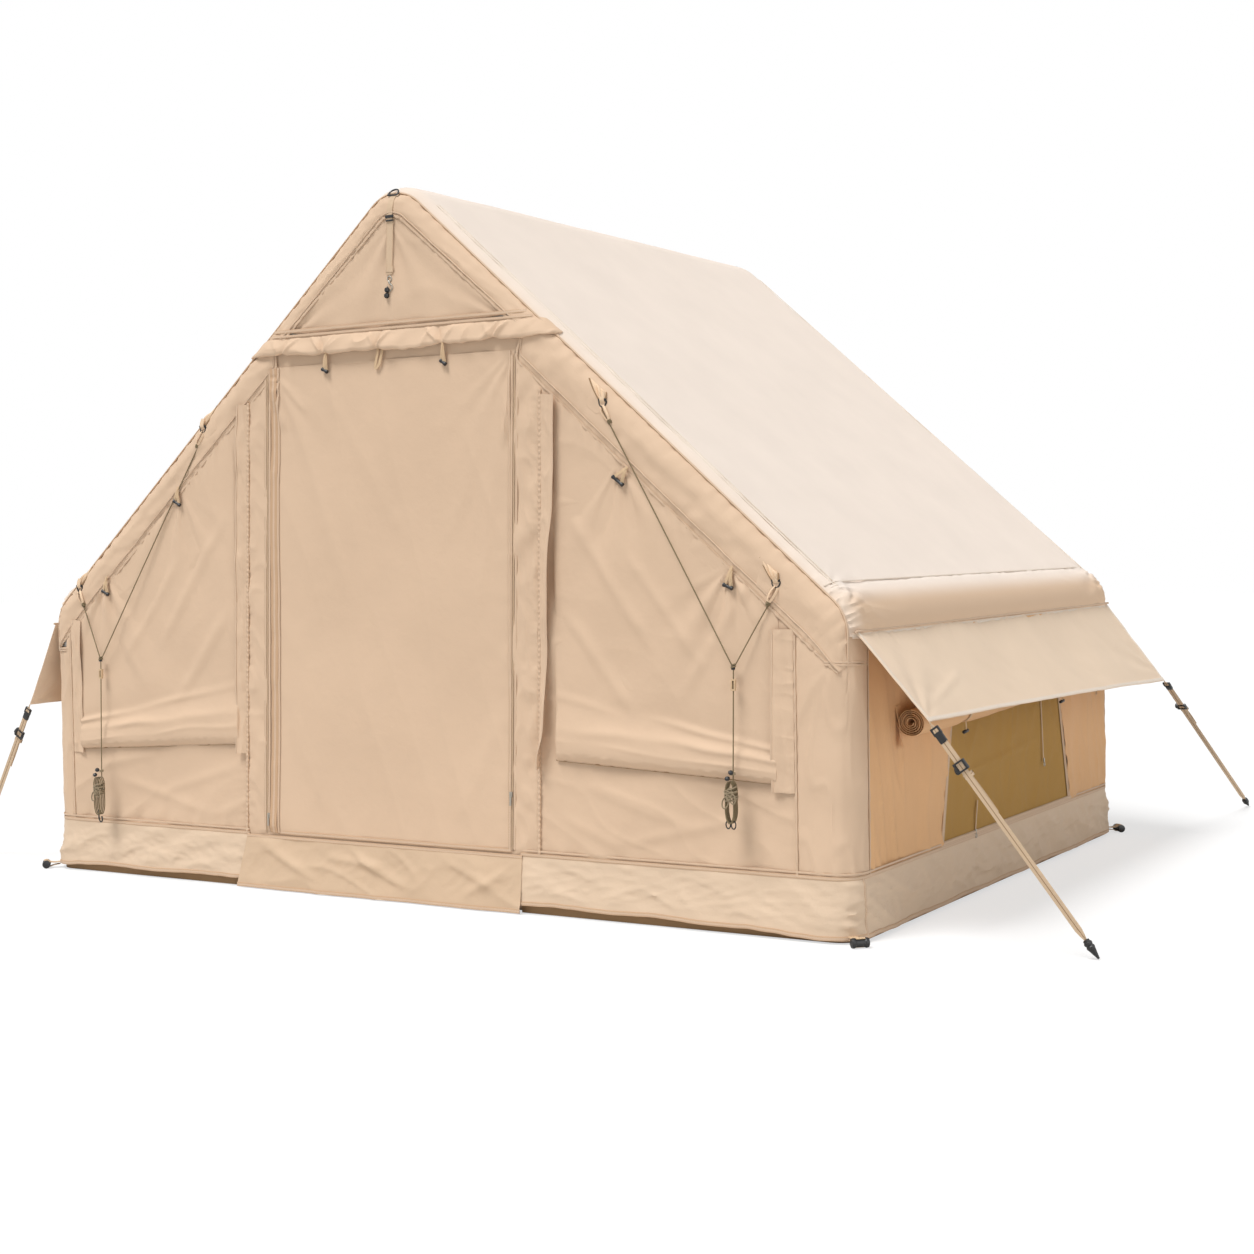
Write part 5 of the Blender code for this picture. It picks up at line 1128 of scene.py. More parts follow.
SLIDER_Z = {"left": 0.235, "right": 0.350}
for key, side in SIDES.items():
    zc = SLIDER_Z[key]
    lo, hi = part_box(f"zip_slider_{key}")
    x0 = float(line_x("zip_" + key, zc))
    run = Vector((float(line_x("zip_" + key, 1.6) - line_x("zip_" + key, 0.2)), 0, 1.4)).normalized()
    axes = ((1, 0, 0), (0, -1, 0), run)
    centre = Vector(((lo.x + hi.x) / 2, FRONT - 0.0045, zc))
    puller = Piece(f"zip_puller_{key}", f"zip_{key}", "hook_steel")
    puller.add(block(centre, axes, (0.011, 0.006, 0.016), 0.0018))
    puller.add(block(centre + Vector((0, -0.0034, 0.001)), axes, (0.004, 0.003, 0.010), 0.0010))
    puller.add(block(centre + Vector((0.0, -0.0045, -0.020)), axes, (0.0065, 0.0018, 0.026), 0.0007))
    puller.build(f"zip_slider_{key}")

# Strips beside the door


def strip_piece(name, inner, outer, top_z, foot_z, body, seed, lift0, lift1, wavy, nodes=(), taper=0.0, thick=0.0012):
    """A free-edged strip from a sewn edge to a wavy edge, each a function of z."""
    rows, cols = 150, 16
    v, u = np.linspace(0, 1, rows)[:, None], np.linspace(0, 1, cols)[None, :]
    z = lerp(top_z, foot_z, v) + 0 * u
    far = outer(z) + wavy * 0.7 * waves(seed, z, z * 0, 0.26, 7) * np.sign(inner(0.9))
    if taper:
        far = lerp(far, inner(z), smoothstep((v - (1 - taper)) / taper) * 0.75)
    x = lerp(inner(z), far, u)
    z = z + 0.004 * waves(seed + 1, x, z, 0.12) * u
    points, normals = gable(x, z)
    rise = lerp(lift0, lift1, u**0.8) * (1 + 0.30 * waves(seed + 2, z, x * 0.3, 0.30, 6))
    fold = 0.0016 * waves(seed + 3, x * 1.4, z * 0.45, 0.05, 8) * smoothstep(u * 3) + 0.0030 * ridges(seed + 4, x * 2, z * 0.35, 0.055) * np.sin(math.pi * u)
    fold = fold + 0.0016 * ridges(seed + 5, x * 0.6 + z, z, 0.050) * (1 - u)
    lift = np.maximum(rise + fold, lift0 * 0.8)
    obj = cloth(name, body, "wall_cloth", points, normals, lift, nodes, thick=thick)
    edge = points[:, -1] + normals[:, -1] * (lift[:, -1] - 0.0005)[:, None]
    seams.add(sweep(edge, normals[:, -1], flat_profile(0.005, 0.0014, 0.0004)))
    return obj


strip_piece("storm_strip_left", lambda z: line_x("bead_left", z), lambda z: line_x("storm_left", z) - 0.004, 1.545, 0.430, "tent", 91,
            0.0015, 0.014, 0.005)
strip_piece("storm_strip_right", lambda z: line_x("bead_right", z), lambda z: line_x("storm_right", z) + 0.004, 1.520, 0.430, "tent", 95,
            0.0015, 0.024, 0.006, taper=0.12)
strip_piece("edge_strip_left", lambda z: -1.400 + 0 * z, lambda z: -1.352 + 0 * z, 0.855, 0.405, "tent", 99, 0.0015, 0.008, 0.002)
strip_piece("edge_strip_right", lambda z: 1.328 + 0 * z, lambda z: 1.264 + 0.010 * (z - 0.40), 0.845, 0.400, "tent", 103, 0.0015, 0.016, 0.004)
for key in SIDES:
    zz = np.linspace(1.55 if key == "left" else 1.535, 0.176, 130)
    p, n = front_path(np.stack([line_x("bead_" + key, zz), zz], -1), 0.0012, 0.003)
    run = np.arange(len(p)) * 0.003
    seams.add(sweep(p, n, flat_profile(0.009, 0.0034, 0.0010), scale=1 + 0.20 * np.sin(run * 2 * math.pi / 0.016)))

# Rain hood
u = np.linspace(0, 1, 300)[None, :]
hx = lerp(-0.588, 0.582, u)
arch = np.minimum(1.746, slope_z(hx, 0.008))
hem = 1.692 - 0.010 * np.sin(math.pi * u) + 0.0030 * waves(111, hx, hx * 0, 0.22)
spots = (-0.43, -0.262, -0.056, 0.188, 0.37)
pinch = sum(np.exp(-(((hx - c) / 0.016) ** 2)) for c in spots)
hem = hem + 0.006 * pinch
drop = np.maximum(arch - hem, 0.006)
full = np.sin(math.pi * u) ** 0.4 * (1 - 0.42 * pinch)
v = np.linspace(0, 1, 44)[:, None]
steps = [0, 0.15, 0.52, 0.66, 0.76, 0.87, 1]
fall = np.interp(v, steps, [0, 0.14, 0.62, 0.84, 0.97, 1.0, 0.93])
rise = np.interp(v, steps, [0.002, 0.006, 0.017, 0.0215, 0.020, 0.013, 0.008])
veer = hx * 1.0 + v * 0.050
twist = 0.0090 * ridges(112, veer, v * 0.06, 0.075, 6) + 0.0022 * waves(113, veer, v * 0.08, 0.16, 8)
hood_z = arch - drop * fall
rays = 0
for c, lean in zip(spots, (0.07, -0.06, 0.05, -0.07, 0.06)):
    for way, high in ((lean, 0.0095), (-lean * 0.7, 0.0060), (lean * 0.35, -0.0080)):
        rays = rays + crease(hx, hood_z, (c, 1.684), (c + way, 1.752), 0.0065, high, 0.2)
z = arch - drop * fall + 0.0018 * waves(114, hx, v * 0.05, 0.05, 8) * v
points, normals = gable(hx + 0 * z, z)
lift = np.maximum((rise + (twist + rays) * np.sin(math.pi * np.clip(v * 1.1, 0, 1))) * (0.30 + 0.70 * full), 0.0014)
cloth("hood_cloth", "hood", "wall_cloth", points, normals, lift, ["door_hood"])
for z_seam, wide in ((1.7485, 0.008), (1.764, 0.0105)):
    far = float(slope_x(z_seam, 0.030))
    p, n = front_path([(-far, z_seam), (far, z_seam)], 0.0040)
    seams.add(sweep(p, n, flat_profile(wide, 0.0018, 0.0006)))

# Window covers with their puffed foot fold
COVER_X = {"left": (0.645, 1.362), "right": (0.562, 1.284)}
COVER_FOOT = {"left": (0.462, 0.420), "right": (0.460, 0.424)}
FOLD = np.array(curve_points([(1.30, 0.0045, 0), (1.04, 0.0042, 0), (0.86, 0.0085, 0), (0.64, 0.0165, 0), (0.45, 0.0225, 0), (0.28, 0.0250, 0),
                              (0.14, 0.0225, 0), (0.05, 0.0150, 0), (0.008, 0.0080, 0), (0.03, 0.0045, 0), (0.0, 0.0040, 0)], 8))
FOLD_RUN = np.linspace(0, 1, len(FOLD))
for key, side in SIDES.items():
    near, far = COVER_X[key]
    u = np.linspace(0, 1, 130)[None, :]
    v = np.linspace(0, 1, 200)[:, None]
    xa = lerp(near, far, u)
    foot = lerp(COVER_FOOT[key][0], COVER_FOOT[key][1], u)
    head = slope_z(xa, BANDS[key] + 0.001)
    deep = lerp(0.178, 0.100, u) * (1 + 0.04 * waves(121 + side, u, u * 0, 0.9, 4))
    flat = 0.58
    low = np.clip((v - flat) / (1 - flat), 0, 1)
    high_z = lerp(head, foot + deep * 1.30, v / flat)
    share = np.interp(low, FOLD_RUN, FOLD[:, 0])
    z = np.where(v < flat, high_z, foot + deep * share)
    puff = np.where(v < flat, 0.0045, np.interp(low, FOLD_RUN, FOLD[:, 1]))
    ends = 1 - 0.35 * np.abs(2 * u - 1) ** 4
    puff = 0.0045 + (puff - 0.0045) * ends * (0.92 + 0.07 * waves(122 + side, u, u * 0, 0.8, 4))
    x = xa * side + 0 * z
    points, normals = gable(x, z)
    above = smoothstep((z - foot - deep * 0.9) / 0.10)
    hem_part = smoothstep((0.16 - share) / 0.04) * (low > 0)
    relief = (0.0042 * waves(123 + side, x, z, 0.50) + 0.0018 * ridges(124 + side, x * 0.5 + z * 0.4, z * 0.8, 0.15)) * above
    for cx, cz in ((0.790, 1.264), (1.137, 0.966)) if side > 0 else ((-0.888, 1.240), (-1.223, 0.950)):
        relief = relief + fan(x, z, (cx, cz + 0.05), 0.30, 3.5, 0.0085, -150, -35) * above
    for a, b, wide, high in (((0.04, 0.30), (0.50, 0.80), 0.024, 0.0042), ((0.30, 0.42), (0.72, 0.84), 0.022, 0.0034),
                             ((0.97, 0.45), (0.55, 0.93), 0.024, 0.0040), ((0.03, 0.62), (0.40, 0.98), 0.026, 0.0044)):
        one = (side * lerp(near, far, a[0]), 1.50 - a[1] * 0.95)
        two = (side * lerp(near, far, b[0]), 1.50 - b[1] * 0.95)
        relief = relief + crease(x, z, one, two, wide * 0.85, high * 1.15)
    long_folds = 0
    for place, lean, wide, high in ((0.98, -0.16, 0.085, 0.0072), (0.60, 0.10, 0.100, 0.0064), (0.30, -0.05, 0.050, 0.0022)):
        middle = place + lean * (u - 0.5) + 0.035 * waves(int(place * 100) + side, u, u * 0, 0.45, 4)
        strength = np.clip(0.62 + 0.55 * waves(int(place * 200) + side, u, u * 0, 0.60, 4), 0, 1.2)
        long_folds = long_folds + high * strength * np.exp(-(((share - middle) / wide) ** 2))
    relief = relief + long_folds * (1 - above) * (1 - hem_part) * np.clip(share / 0.35, 0.15, 1)
    relief = relief + pucker(head - z, x, 127 + side, 0.0024, 0.040, 0.028) + 0.0010 * waves(128 + side, x, z, 0.05) * hem_part
    lift = np.maximum(puff + relief, 0.0024)
    edge = np.minimum(u, 1 - u)
    lift = lift * smoothstep(0.30 + edge / 0.015)
    cloth(f"cover_cloth_{key}", f"cover_{key}", "wall_cloth", points, normals, lift, [f"window_cover_{key}"])
    trim = Piece(f"cover_seams_{key}", f"cover_{key}", "wall_cloth", "seam")
    for row in (-2, -5):
        spot = points[row] + normals[row] * (lift[row] + 0.0002)[:, None]
        trim.add(sweep(spot, normals[row], flat_profile(0.0052, 0.0014, 0.0004)))
    trim.build()
    # Painted shadow: a thin dark band along the cover's foot stands for the shade under its fold
    hem = Piece(f"cover_painted_shadow_line_{key}", f"cover_{key}", "wall_cloth", "painted_shade_line")
    hem.add(sweep(points[-1] + normals[-1] * 0.0022 + np.array([0, 0, -0.0016]), normals[-1], flat_profile(0.0040, 0.0024, 0.0006)))
    hem.build()

# Mud skirt and threshold flap
seam_z = {"front": 0.172, "side": 0.172}


def skirt_path(key):
    """X, Y and normals round half the footprint, and the run along it."""
    side = SIDES[key]
    start = 0.620 if side < 0 else 0.430
    points = []
    for t in np.linspace(start, HALF_WIDTH - EDGE, 90):
        points.append((t, -HALF_DEPTH, 0, -1))
    for k in range(1, 13):
        a = -math.pi / 2 + math.pi / 2 * k / 13
        points.append((HALF_WIDTH - EDGE + EDGE * math.cos(a), -EDGE_LINE + EDGE * math.sin(a), math.cos(a), math.sin(a)))
    for t in np.linspace(-EDGE_LINE, EDGE_LINE, 170):
        points.append((HALF_WIDTH, t, 1, 0))
    for k in range(1, 13):
        a = math.pi / 2 * k / 13
        points.append((HALF_WIDTH - EDGE + EDGE * math.cos(a), EDGE_LINE + EDGE * math.sin(a), math.cos(a), math.sin(a)))
    for t in np.linspace(HALF_WIDTH - EDGE, GAP, 110):
        points.append((t, HALF_DEPTH, 0, 1))
    a = np.array(points)
    a[:, 0] *= side
    a[:, 2] *= side
    run = np.concatenate([[0], np.cumsum(np.linalg.norm(np.diff(a[:, :2], axis=0), axis=1))])
    return a, run


for key, side in SIDES.items():
    a, run = skirt_path(key)
    v = np.linspace(0, 1, 26)[:, None]
    run = run[None, :]
    front_part = (a[:, 3] < -0.5)[None, :]
    raised = np.interp(run, [0, 0.75, 0.98, 1.3, run.max()], [0.034, 0.028, 0.014, 0.017, 0.020])
    hem = raised + 0.003 * waves(131 + side, run, run * 0, 0.40) + 0.0006 * waves(132, run, run * 0, 0.10)
    hem = np.maximum(hem, 0.010)
    z = lerp(0.174, hem, v)
    crumple = 0.9 * waves(133 + side, run + z, z * 1.6, 0.26, 7) + 1.1 * ridges(134 + side, run + z * 0.8, z * 1.2, 0.110, 6)
    crumple = crumple + 0.7 * ridges(136 + side, run - z * 1.4, z * 1.5, 0.055, 6) * np.sin(math.pi * v) + 0.5 * ridges(137 + side, run * 0.4, z * 1.5, 0.035, 6)
    crumple = crumple * np.where(np.abs(a[:, 2])[None, :] > 0.5, 1.7, 1.0)
    out = 0.0023 + 0.016 * v**1.5 * (1 + 0.25 * waves(135 + side, run, z, 0.35)) + 0.0042 * crumple * smoothstep(v / 0.14) * (0.5 + 0.5 * v)
    out = out - 0.0042 * crumple * (0.5 + 0.5 * v) * smoothstep((v - 0.70) / 0.30) * 0.88
    out = np.maximum(out, 0.0024)
    points = np.stack([a[:, 0] + 0 * z, a[:, 1] + 0 * z, z], -1)
    normals = np.stack([a[:, 2] + 0 * z, a[:, 3] + 0 * z, 0 * z], -1)
    cloth(f"skirt_cloth_{key}", "tent", "skirt_cloth", points, normals, out, [f"skirt_{key}"])
    # A band in the groundsheet's brown round the wall's foot under the skirt: partly the groundsheet's edge, partly
    # painted shade under the hem
    tub_shade_z = lerp(0.060, 0.0015, np.linspace(0, 1, 4)[:, None])
    tub_shade_band = np.stack([a[:, 0] + 0 * tub_shade_z, a[:, 1] + 0 * tub_shade_z, tub_shade_z + 0 * run], -1)
    tub_shade_out = np.stack([a[:, 2] + 0 * tub_shade_z, a[:, 3] + 0 * tub_shade_z, 0 * tub_shade_z + 0 * run], -1)
    cloth(f"tub_edge_and_shade_{key}", "tent", "floor_cloth", tub_shade_band, tub_shade_out, 0.0014 + 0 * tub_shade_z + 0 * run)
    for row, wide in ((0, 0.010), (-1, 0.012)):
        p = points[row] + normals[row] * (np.broadcast_to(out, z.shape)[row] - 0.0006)[:, None]
        seams.add(sweep(p, normals[row], flat_profile(wide, 0.0018, 0.0005)))
    p = points[1] + normals[1] * (np.broadcast_to(out, z.shape)[1] + 0.0002)[:, None] + np.array([0, 0, 0.018])
    seams.add(sweep(p, normals[1], flat_profile(0.006, 0.0014, 0.0005)))
    for index in (100, 291):
        p = np.array([points[r, index] + normals[r, index] * (np.broadcast_to(out, z.shape)[r, index] - 0.0004) for r in range(26)])
        seams.add(sweep(p, normals[:26, index], flat_profile(0.008, 0.0016, 0.0005)))

u, v = np.linspace(0, 1, 120)[None, :], np.linspace(0, 1, 30)[:, None]
x = lerp(lerp(-0.626, -0.656, v), lerp(0.436, 0.441, v), u)
z = lerp(0.172, 0.0035, v) + 0 * u
out = 0.0052 + 0.026 * v**1.25 + 0.0030 * waves(141, x, z * 1.2, 0.26, 7) * smoothstep(v / 0.15) + 0.004 * v**2 * waves(142, x, z * 0, 0.45)
out = out + 0.0050 * ridges(143, x + z * 1.2, z, 0.15, 6) * smoothstep(v / 0.2) + 0.0024 * ridges(144, x - z, z * 1.4, 0.060, 6) * np.sin(math.pi * v)
for one, two in (((-0.58, 0.15), (-0.30, 0.03)), ((-0.20, 0.14), (0.02, 0.05)), ((0.12, 0.15), (0.38, 0.06)), ((-0.05, 0.10), (-0.32, 0.12)), ((0.40, 0.13), (0.22, 0.03))):
    out = out + crease(x, z, one, two, 0.013, 0.0060)
out = np.maximum(out, 0.0045)
points = np.stack([x, FRONT + 0 * x, z + 0 * x], -1)
normals = np.broadcast_to(np.array([0.0, -1.0, 0.0]), points.shape)
cloth("threshold_cloth", "threshold", "skirt_cloth", points, normals, out, ["threshold_flap"], look="flap_cloth")
flap_trim = Piece("threshold_seams", "threshold", "skirt_cloth", "seam")
for row, wide in ((1, 0.010), (-2, 0.012)):
    p = points[row] + normals[row] * (np.broadcast_to(out, z.shape)[row] - 0.0004)[:, None]
    flap_trim.add(sweep(p, normals[row], flat_profile(wide, 0.0016, 0.0005)))
flap_trim.build()

# Awnings
for key, side in SIDES.items():
    seam = Vector(((HALF_WIDTH + 0.0006) * side, 0, SEAM_Z))
    front, rear = awning_corner(key, -1), awning_corner(key, 1)
    v, u = np.linspace(0, 1, 40)[:, None], np.linspace(0, 1, 180)[None, :]
    along = 2 * u - 1
    edge_x, edge_z = lerp(front.x, rear.x, u), lerp(front.z, rear.z, u)
    ox, oz = edge_x - seam.x, edge_z - seam.z
    size = np.hypot(ox, oz)
    reach = v * (1 - 0.020 * (1 - along**2) * v)
    half = lerp(1.105, 1.130, v)
    sag = 0.012 * np.sin(math.pi * v) * (1 - along**2)
    points = np.stack([seam.x + ox * reach, half * along, seam.z + oz * reach - sag], -1)
    normals = np.stack([np.abs(oz) / size * side + 0 * v, 0 * v + 0 * u, np.abs(ox) / size + 0 * v], -1)
    yy, rr = half * along, reach * size
    lift = 0.0020 * waves(151 + side, yy, rr, 0.5) + 0.0006 * waves(152, yy, rr, 0.12) + pucker(v * 0.3, yy, 153, 0.0018, 0.06, 0.03)
    for end in (-1, 1):
        lift = lift + fan(yy * -end, rr, (1.13, 0.31), 0.30, 2.5, 0.0030, 180, 250)
    lift = lift + crease(yy, rr, (-1.08, 0.28), (-0.62, 0.16), 0.012, 0.003) + 0.0012
    cloth(f"awning_cloth_{key}", f"awning_{key}", "roof_cloth", points, normals, lift, [f"awning_{key}"], look="awning_cloth")
    trim = Piece(f"awning_hem_{key}", f"awning_{key}", "roof_cloth", "seam_light")
    for rows_, cols_ in (((-2), slice(None)), (slice(None), 1), (slice(None), -2)):
        p = (points + normals * lift[..., None])[rows_, cols_] - normals[rows_, cols_] * 0.0004
        trim.add(sweep(p, normals[rows_, cols_], flat_profile(0.013, 0.0014, 0.0004)))
    trim.build()

# Rolled side window covers, with their ties
ROLL_ENDS = (-0.835, 0.800)
ROLL_DROPS = {"left": (0.281, 0.281), "right": (0.262, 0.224)}
ROLL_RADIUS = 0.043


def roll_centre(key, y):
    """The roll hangs between its ends."""
    share = (y - ROLL_ENDS[0]) / (ROLL_ENDS[1] - ROLL_ENDS[0])
    drop = lerp(*ROLL_DROPS[key], share)
    return (HALF_WIDTH + GAP + ROLL_RADIUS) * SIDES[key], SEAM_Z - drop


def hoop(centre, one, two, radius, hint, profile, turns=24):
    turn = np.linspace(0, 2 * math.pi, turns + 1)[:-1]
    path = np.array(centre) + np.outer(np.cos(turn) * radius, one) + np.outer(np.sin(turn) * radius, two)
    return sweep(path, path - np.array(centre) if hint is None else hint, profile, closed=True)


for key, side in SIDES.items():
    turns, rows = 5.5, 5 * 34
    k = np.linspace(0, 1, rows)[:, None]
    y = np.linspace(*ROLL_ENDS, 110)[None, :]
    turn = math.pi + 2 * math.pi * turns * (1 - k)
    tied = sum(np.exp(-(((y - c) / 0.045) ** 2)) for c in (-0.46, 0.42))
    slack = 1 - 0.16 * tied * k + 0.05 * waves(161 + side, y, k * 0.2, 0.40) * k
    radius = (0.009 + (ROLL_RADIUS - 0.0095) * k) * slack + 0.0010 * waves(162 + side, y, turn * 0.03, 0.09) * k
    radius = radius * (1 + 0.05 * np.sin(turn * 2 + y * 5) * k)
    radius = np.minimum(radius, ROLL_RADIUS)
    shift = 0.004 * waves(163, k, k, 0.35) * np.where((y < -0.82) | (y > 0.785), 1, 0)
    x0, z0 = roll_centre(key, y)
    points = np.stack([x0 + radius * np.cos(turn) * side, y + shift + 0 * k, z0 + radius * np.sin(turn)], -1)
    normals = np.stack([np.cos(turn) * side + 0 * y, 0 * turn + 0 * y, np.sin(turn) + 0 * y], -1)
    # The roll takes the side cloth, whose tone is painted shade
    roll = Piece(f"roll_cloth_{key}", "tent", "wall_cloth", "side_cloth").add(shell(points, normals, 0.0018)).build(f"side_roll_{key}")
    run = float(np.linalg.norm(np.diff(points, axis=0), axis=-1).sum(0).max())
    ties = Piece(f"roll_ties_{key}", "tent", "webbing")
    toggles = Piece(f"roll_toggles_{key}", "tent", "black_plastic")
    for c in (-0.46, 0.42):
        x0, z0 = roll_centre(key, c)
        ties.add(hoop((x0, c, z0), (1, 0, 0), (0, 0, 1), ROLL_RADIUS * 0.86 + 0.0012, None, flat_profile(0.012, 0.0014)))
        lead = [(HALF_WIDTH * side + 0.003 * side, c, z0 + 0.075), ((HALF_WIDTH + 0.006) * side, c, z0 + 0.05), (x0, c, z0 + ROLL_RADIUS * 0.90)]
        ties.add(sweep(curve_points(lead, 6), (side, 0, 0.3), flat_profile(0.012, 0.0014)))
        low = (x0 + 0.012 * side, c + 0.010, z0 - ROLL_RADIUS * 0.9)
        drop = [low, (low[0], c + 0.014, low[2] - 0.014), (low[0], c + 0.012, low[2] - 0.028)]
        ties.add(sweep(curve_points(drop, 5), (side, 0, 0), flat_profile(0.006, 0.0018)))
        toggles.add(lathe((low[0], c - 0.008, low[2] - 0.030), (0, 1, 0.1), [(0, 0.003), (0.003, 0.0052), (0.034, 0.0052), (0.037, 0.003)], 14))
    ties.build()
    toggles.build()
    v, u = np.linspace(0, 1, 26)[:, None], np.linspace(0, 1, 14)[None, :]
    x0, z0 = roll_centre(key, -0.80)
    z = lerp(z0 + 0.045, z0 - 0.072, v) + 0 * u
    y = lerp(-0.846, -0.815, u) + 0.006 * v
    points, normals = hull(wall_s(z) * side, y)
    lift = 0.004 + 0.016 * v * (1 - 0.4 * u) + 0.003 * waves(164, y, z, 0.06)
    # The flap takes the side cloth, whose tone is painted shade
    cloth(f"roll_flap_{key}", "tent", "side_cloth", points, normals, lift)
    screen_zip = Piece(f"window_zips_{key}", "tent", "insect_screen", "zip_coil")
    pulls = Piece(f"window_pulls_{key}", "tent", "hook_steel")
    for (y0, z0), (y1, z1) in (((-0.501, 0.184), (-0.402, 0.640)), ((0.652, 0.184), (0.527, 0.640)), ((-0.498, 0.186), (0.655, 0.186))):
        t = np.linspace(0, 1, 90)
        p, n = hull(wall_s(lerp(z0, z1, t)) * side, lerp(y0, y1, t))
        screen_zip.add(sweep(p + n * 0.0005, n, flat_profile(0.010, 0.0022, 0.0006)))
    for (y0, z0), (y1, z1) in (((0.372, 0.560), (0.397, 0.341)), ((-0.216, 0.281), (-0.237, 0.188))):
        t = np.linspace(0, 1, 30)
        p, n = hull(wall_s(lerp(z0, z1, t)) * side, lerp(y0, y1, t))
        screen_zip.add(sweep(p + n * 0.0008, n, flat_profile(0.006, 0.0020, 0.0005)))
        foot = p[-1] + n[-1] * 0.003
        pulls.add(block(foot, ((0, 1, 0), (1, 0, 0), (0, 0, 1)), (0.009, 0.005, 0.013), 0.0015))
        pulls.add(hoop(foot + np.array([0.002 * side, 0, -0.014]), (0, 1, 0), (0, 0, 1), 0.006, (side, 0, 0), round_profile(0.0013, 6)))
    screen_zip.build()
    pulls.build()
    patch = Piece(f"ring_tab_{key}", "tent", "webbing")
    p, n = hull(wall_s(np.array([0.560, 0.548, 0.536])) * side, np.full(3, 0.963))
    patch.add(sweep(p + n * 0.0015, n, flat_profile(0.012, 0.0016)))
    patch.add(hoop(p[-1] + n[-1] * 0.004 + np.array([0, 0, -0.010]), (0, 1, 0), (0, 0, 1), 0.009, (side, 0, 0), round_profile(0.0016, 6)))
    patch.build()

# Groundsheet tray
inset = 0.0035
turns = np.linspace(-math.pi / 2, 3 * math.pi / 2, 241)
corner = EDGE - inset
tray = []
for t in turns:
    cx = (HALF_WIDTH - EDGE) * np.clip(math.cos(t) * 6, -1, 1)
    cy = EDGE_LINE * np.clip(math.sin(t) * 6, -1, 1)
    tray.append((cx, cy, math.cos(t), math.sin(t)))
tray = np.array(tray)
edge_xy = tray[:, :2] + corner * tray[:, 2:]
heights = [(1.0, 0.163), (1.0, 0.110), (1.0, 0.060), (1.0, 0.020), (0.996, 0.006), (0.985, 0.003)] + [(s, 0.0028) for s in np.linspace(0.93, 0.02, 22)]
points = np.array([[(x * s, y * s, h) for x, y in edge_xy] for s, h in heights])
inward = np.array([[(-a, -b, 0.0) if h > 0.01 else (0, 0, 1.0) for a, b in tray[:, 2:]] for s, h in heights])
lift = np.where(points[..., 2] > 0.01, 0.0, 0.0008 + 0.0010 * waves(171, points[..., 0], points[..., 1], 0.4) ** 2)
obj = Piece("floor_cloth", "tent", "floor_cloth").add(shell(points + inward * lift[..., None], inward, 0.0016)).build("groundsheet")

# Air tubes with their weld seams


def air_tube(name, path, hint, node_name):
    radius = 0.0680
    path = np.asarray(path, float)
    run = np.concatenate([[0], np.cumsum(np.linalg.norm(np.diff(path, axis=0), axis=1))])
    left = np.minimum(run, run[-1] - run)
    size = np.sqrt(np.clip(1 - (1 - np.clip(left / 0.055, 0, 1)) ** 2, 0.03, 1))
    tube = Piece(name, "tent", "bladder_film")
    tube.add(sweep(path, hint, round_profile(radius, 28), scale=size))
    obj = tube.build(node_name)
    weld = Piece(name + "_weld", "tent", "bladder_film", "weld_tape")
    _, out, across = frames(path, hint)
    inner = path + (out * (size * radius)[:, None])
    weld.add(sweep(inner[6:-6], out[6:-6], flat_profile(0.014, 0.0005, 0.0001)))
    weld.build()


for end_name, end in ENDS.items():
    s = np.linspace(-wall_s(0.006), wall_s(0.006), 260)
    px, pz, nx, nz = section(s)
    path = np.stack([px - nx * EDGE, np.full(s.shape, EDGE_LINE * end), pz - nz * EDGE], -1)
    air_tube(f"{end_name}_arch_bladder", path, (0, -end, 0), f"{end_name}_arch_tube")
for name, at in (("ridge", 0.0), ("eave_left", -(EAVE_START + EAVE_END) / 2), ("eave_right", (EAVE_START + EAVE_END) / 2)):
    tube_node = "ridge_tube" if name == "ridge" else name.replace("eave", "eave_tube")
    lo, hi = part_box(tube_node)
    middle = (lo + hi) / 2
    reach = (hi.y - lo.y) / 2 - 0.001
    path = np.array([(middle.x, y, middle.z) for y in np.linspace(-reach, reach, 110)])
    air_tube(f"{name}_bladder", path, (0, 0, -1) if name == "ridge" else (-math.copysign(1, at), 0, -0.6), tube_node)

# Apex webbing and lamp hook
lo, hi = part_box("apex_webbing")
strip = Piece("apex_strip", "tent", "webbing", "strip_webbing")
route = np.array([(0.000, 2.118), (-0.002, 2.080), (-0.006, 2.000), (-0.011, 1.909)])
p, n = front_path(route, 0.0018, 0.006)
strip.add(sweep(p, n, flat_profile(0.025, 0.0018, 0.0003)))
loop_route = np.array([(0.002, 2.140), (0.001, 2.125), (-0.002, 2.095), (-0.003, 2.072)])
p, n = front_path(loop_route, 0.0045, 0.004)
strip.add(sweep(p, n, flat_profile(0.021, 0.0016, 0.0004)))
p, n = front_path(np.array([(-0.006, 1.934), (-0.008, 1.916)]), 0.0040, 0.003)
strip.add(sweep(p, n, flat_profile(0.027, 0.0016, 0.0)))
strip.build("apex_webbing")
metal = Piece("apex_fittings", "tent", "black_plastic")
seat, out = gable(np.array([0.0]), np.array([2.150]))
out = Vector(out[0])
centre = Vector(seat[0]) + out * 0.007
up = Vector((0, 0, 1)) - out * out.z
up.normalize()
d_ring = [centre + Vector((1, 0, 0)) * a + up * b for a, b in
          ((-0.017, -0.008), (-0.017, 0.002), (-0.012, 0.012), (0, 0.016), (0.012, 0.012), (0.017, 0.002), (0.017, -0.008), (0.0, -0.010))]
ring_points = np.array(curve_points(d_ring + [d_ring[0]], 5)[:-1])
metal.add(sweep(ring_points, tuple(out), round_profile(0.0026, 8), closed=True))
seat, out = gable(np.array([-0.002]), np.array([2.082]))
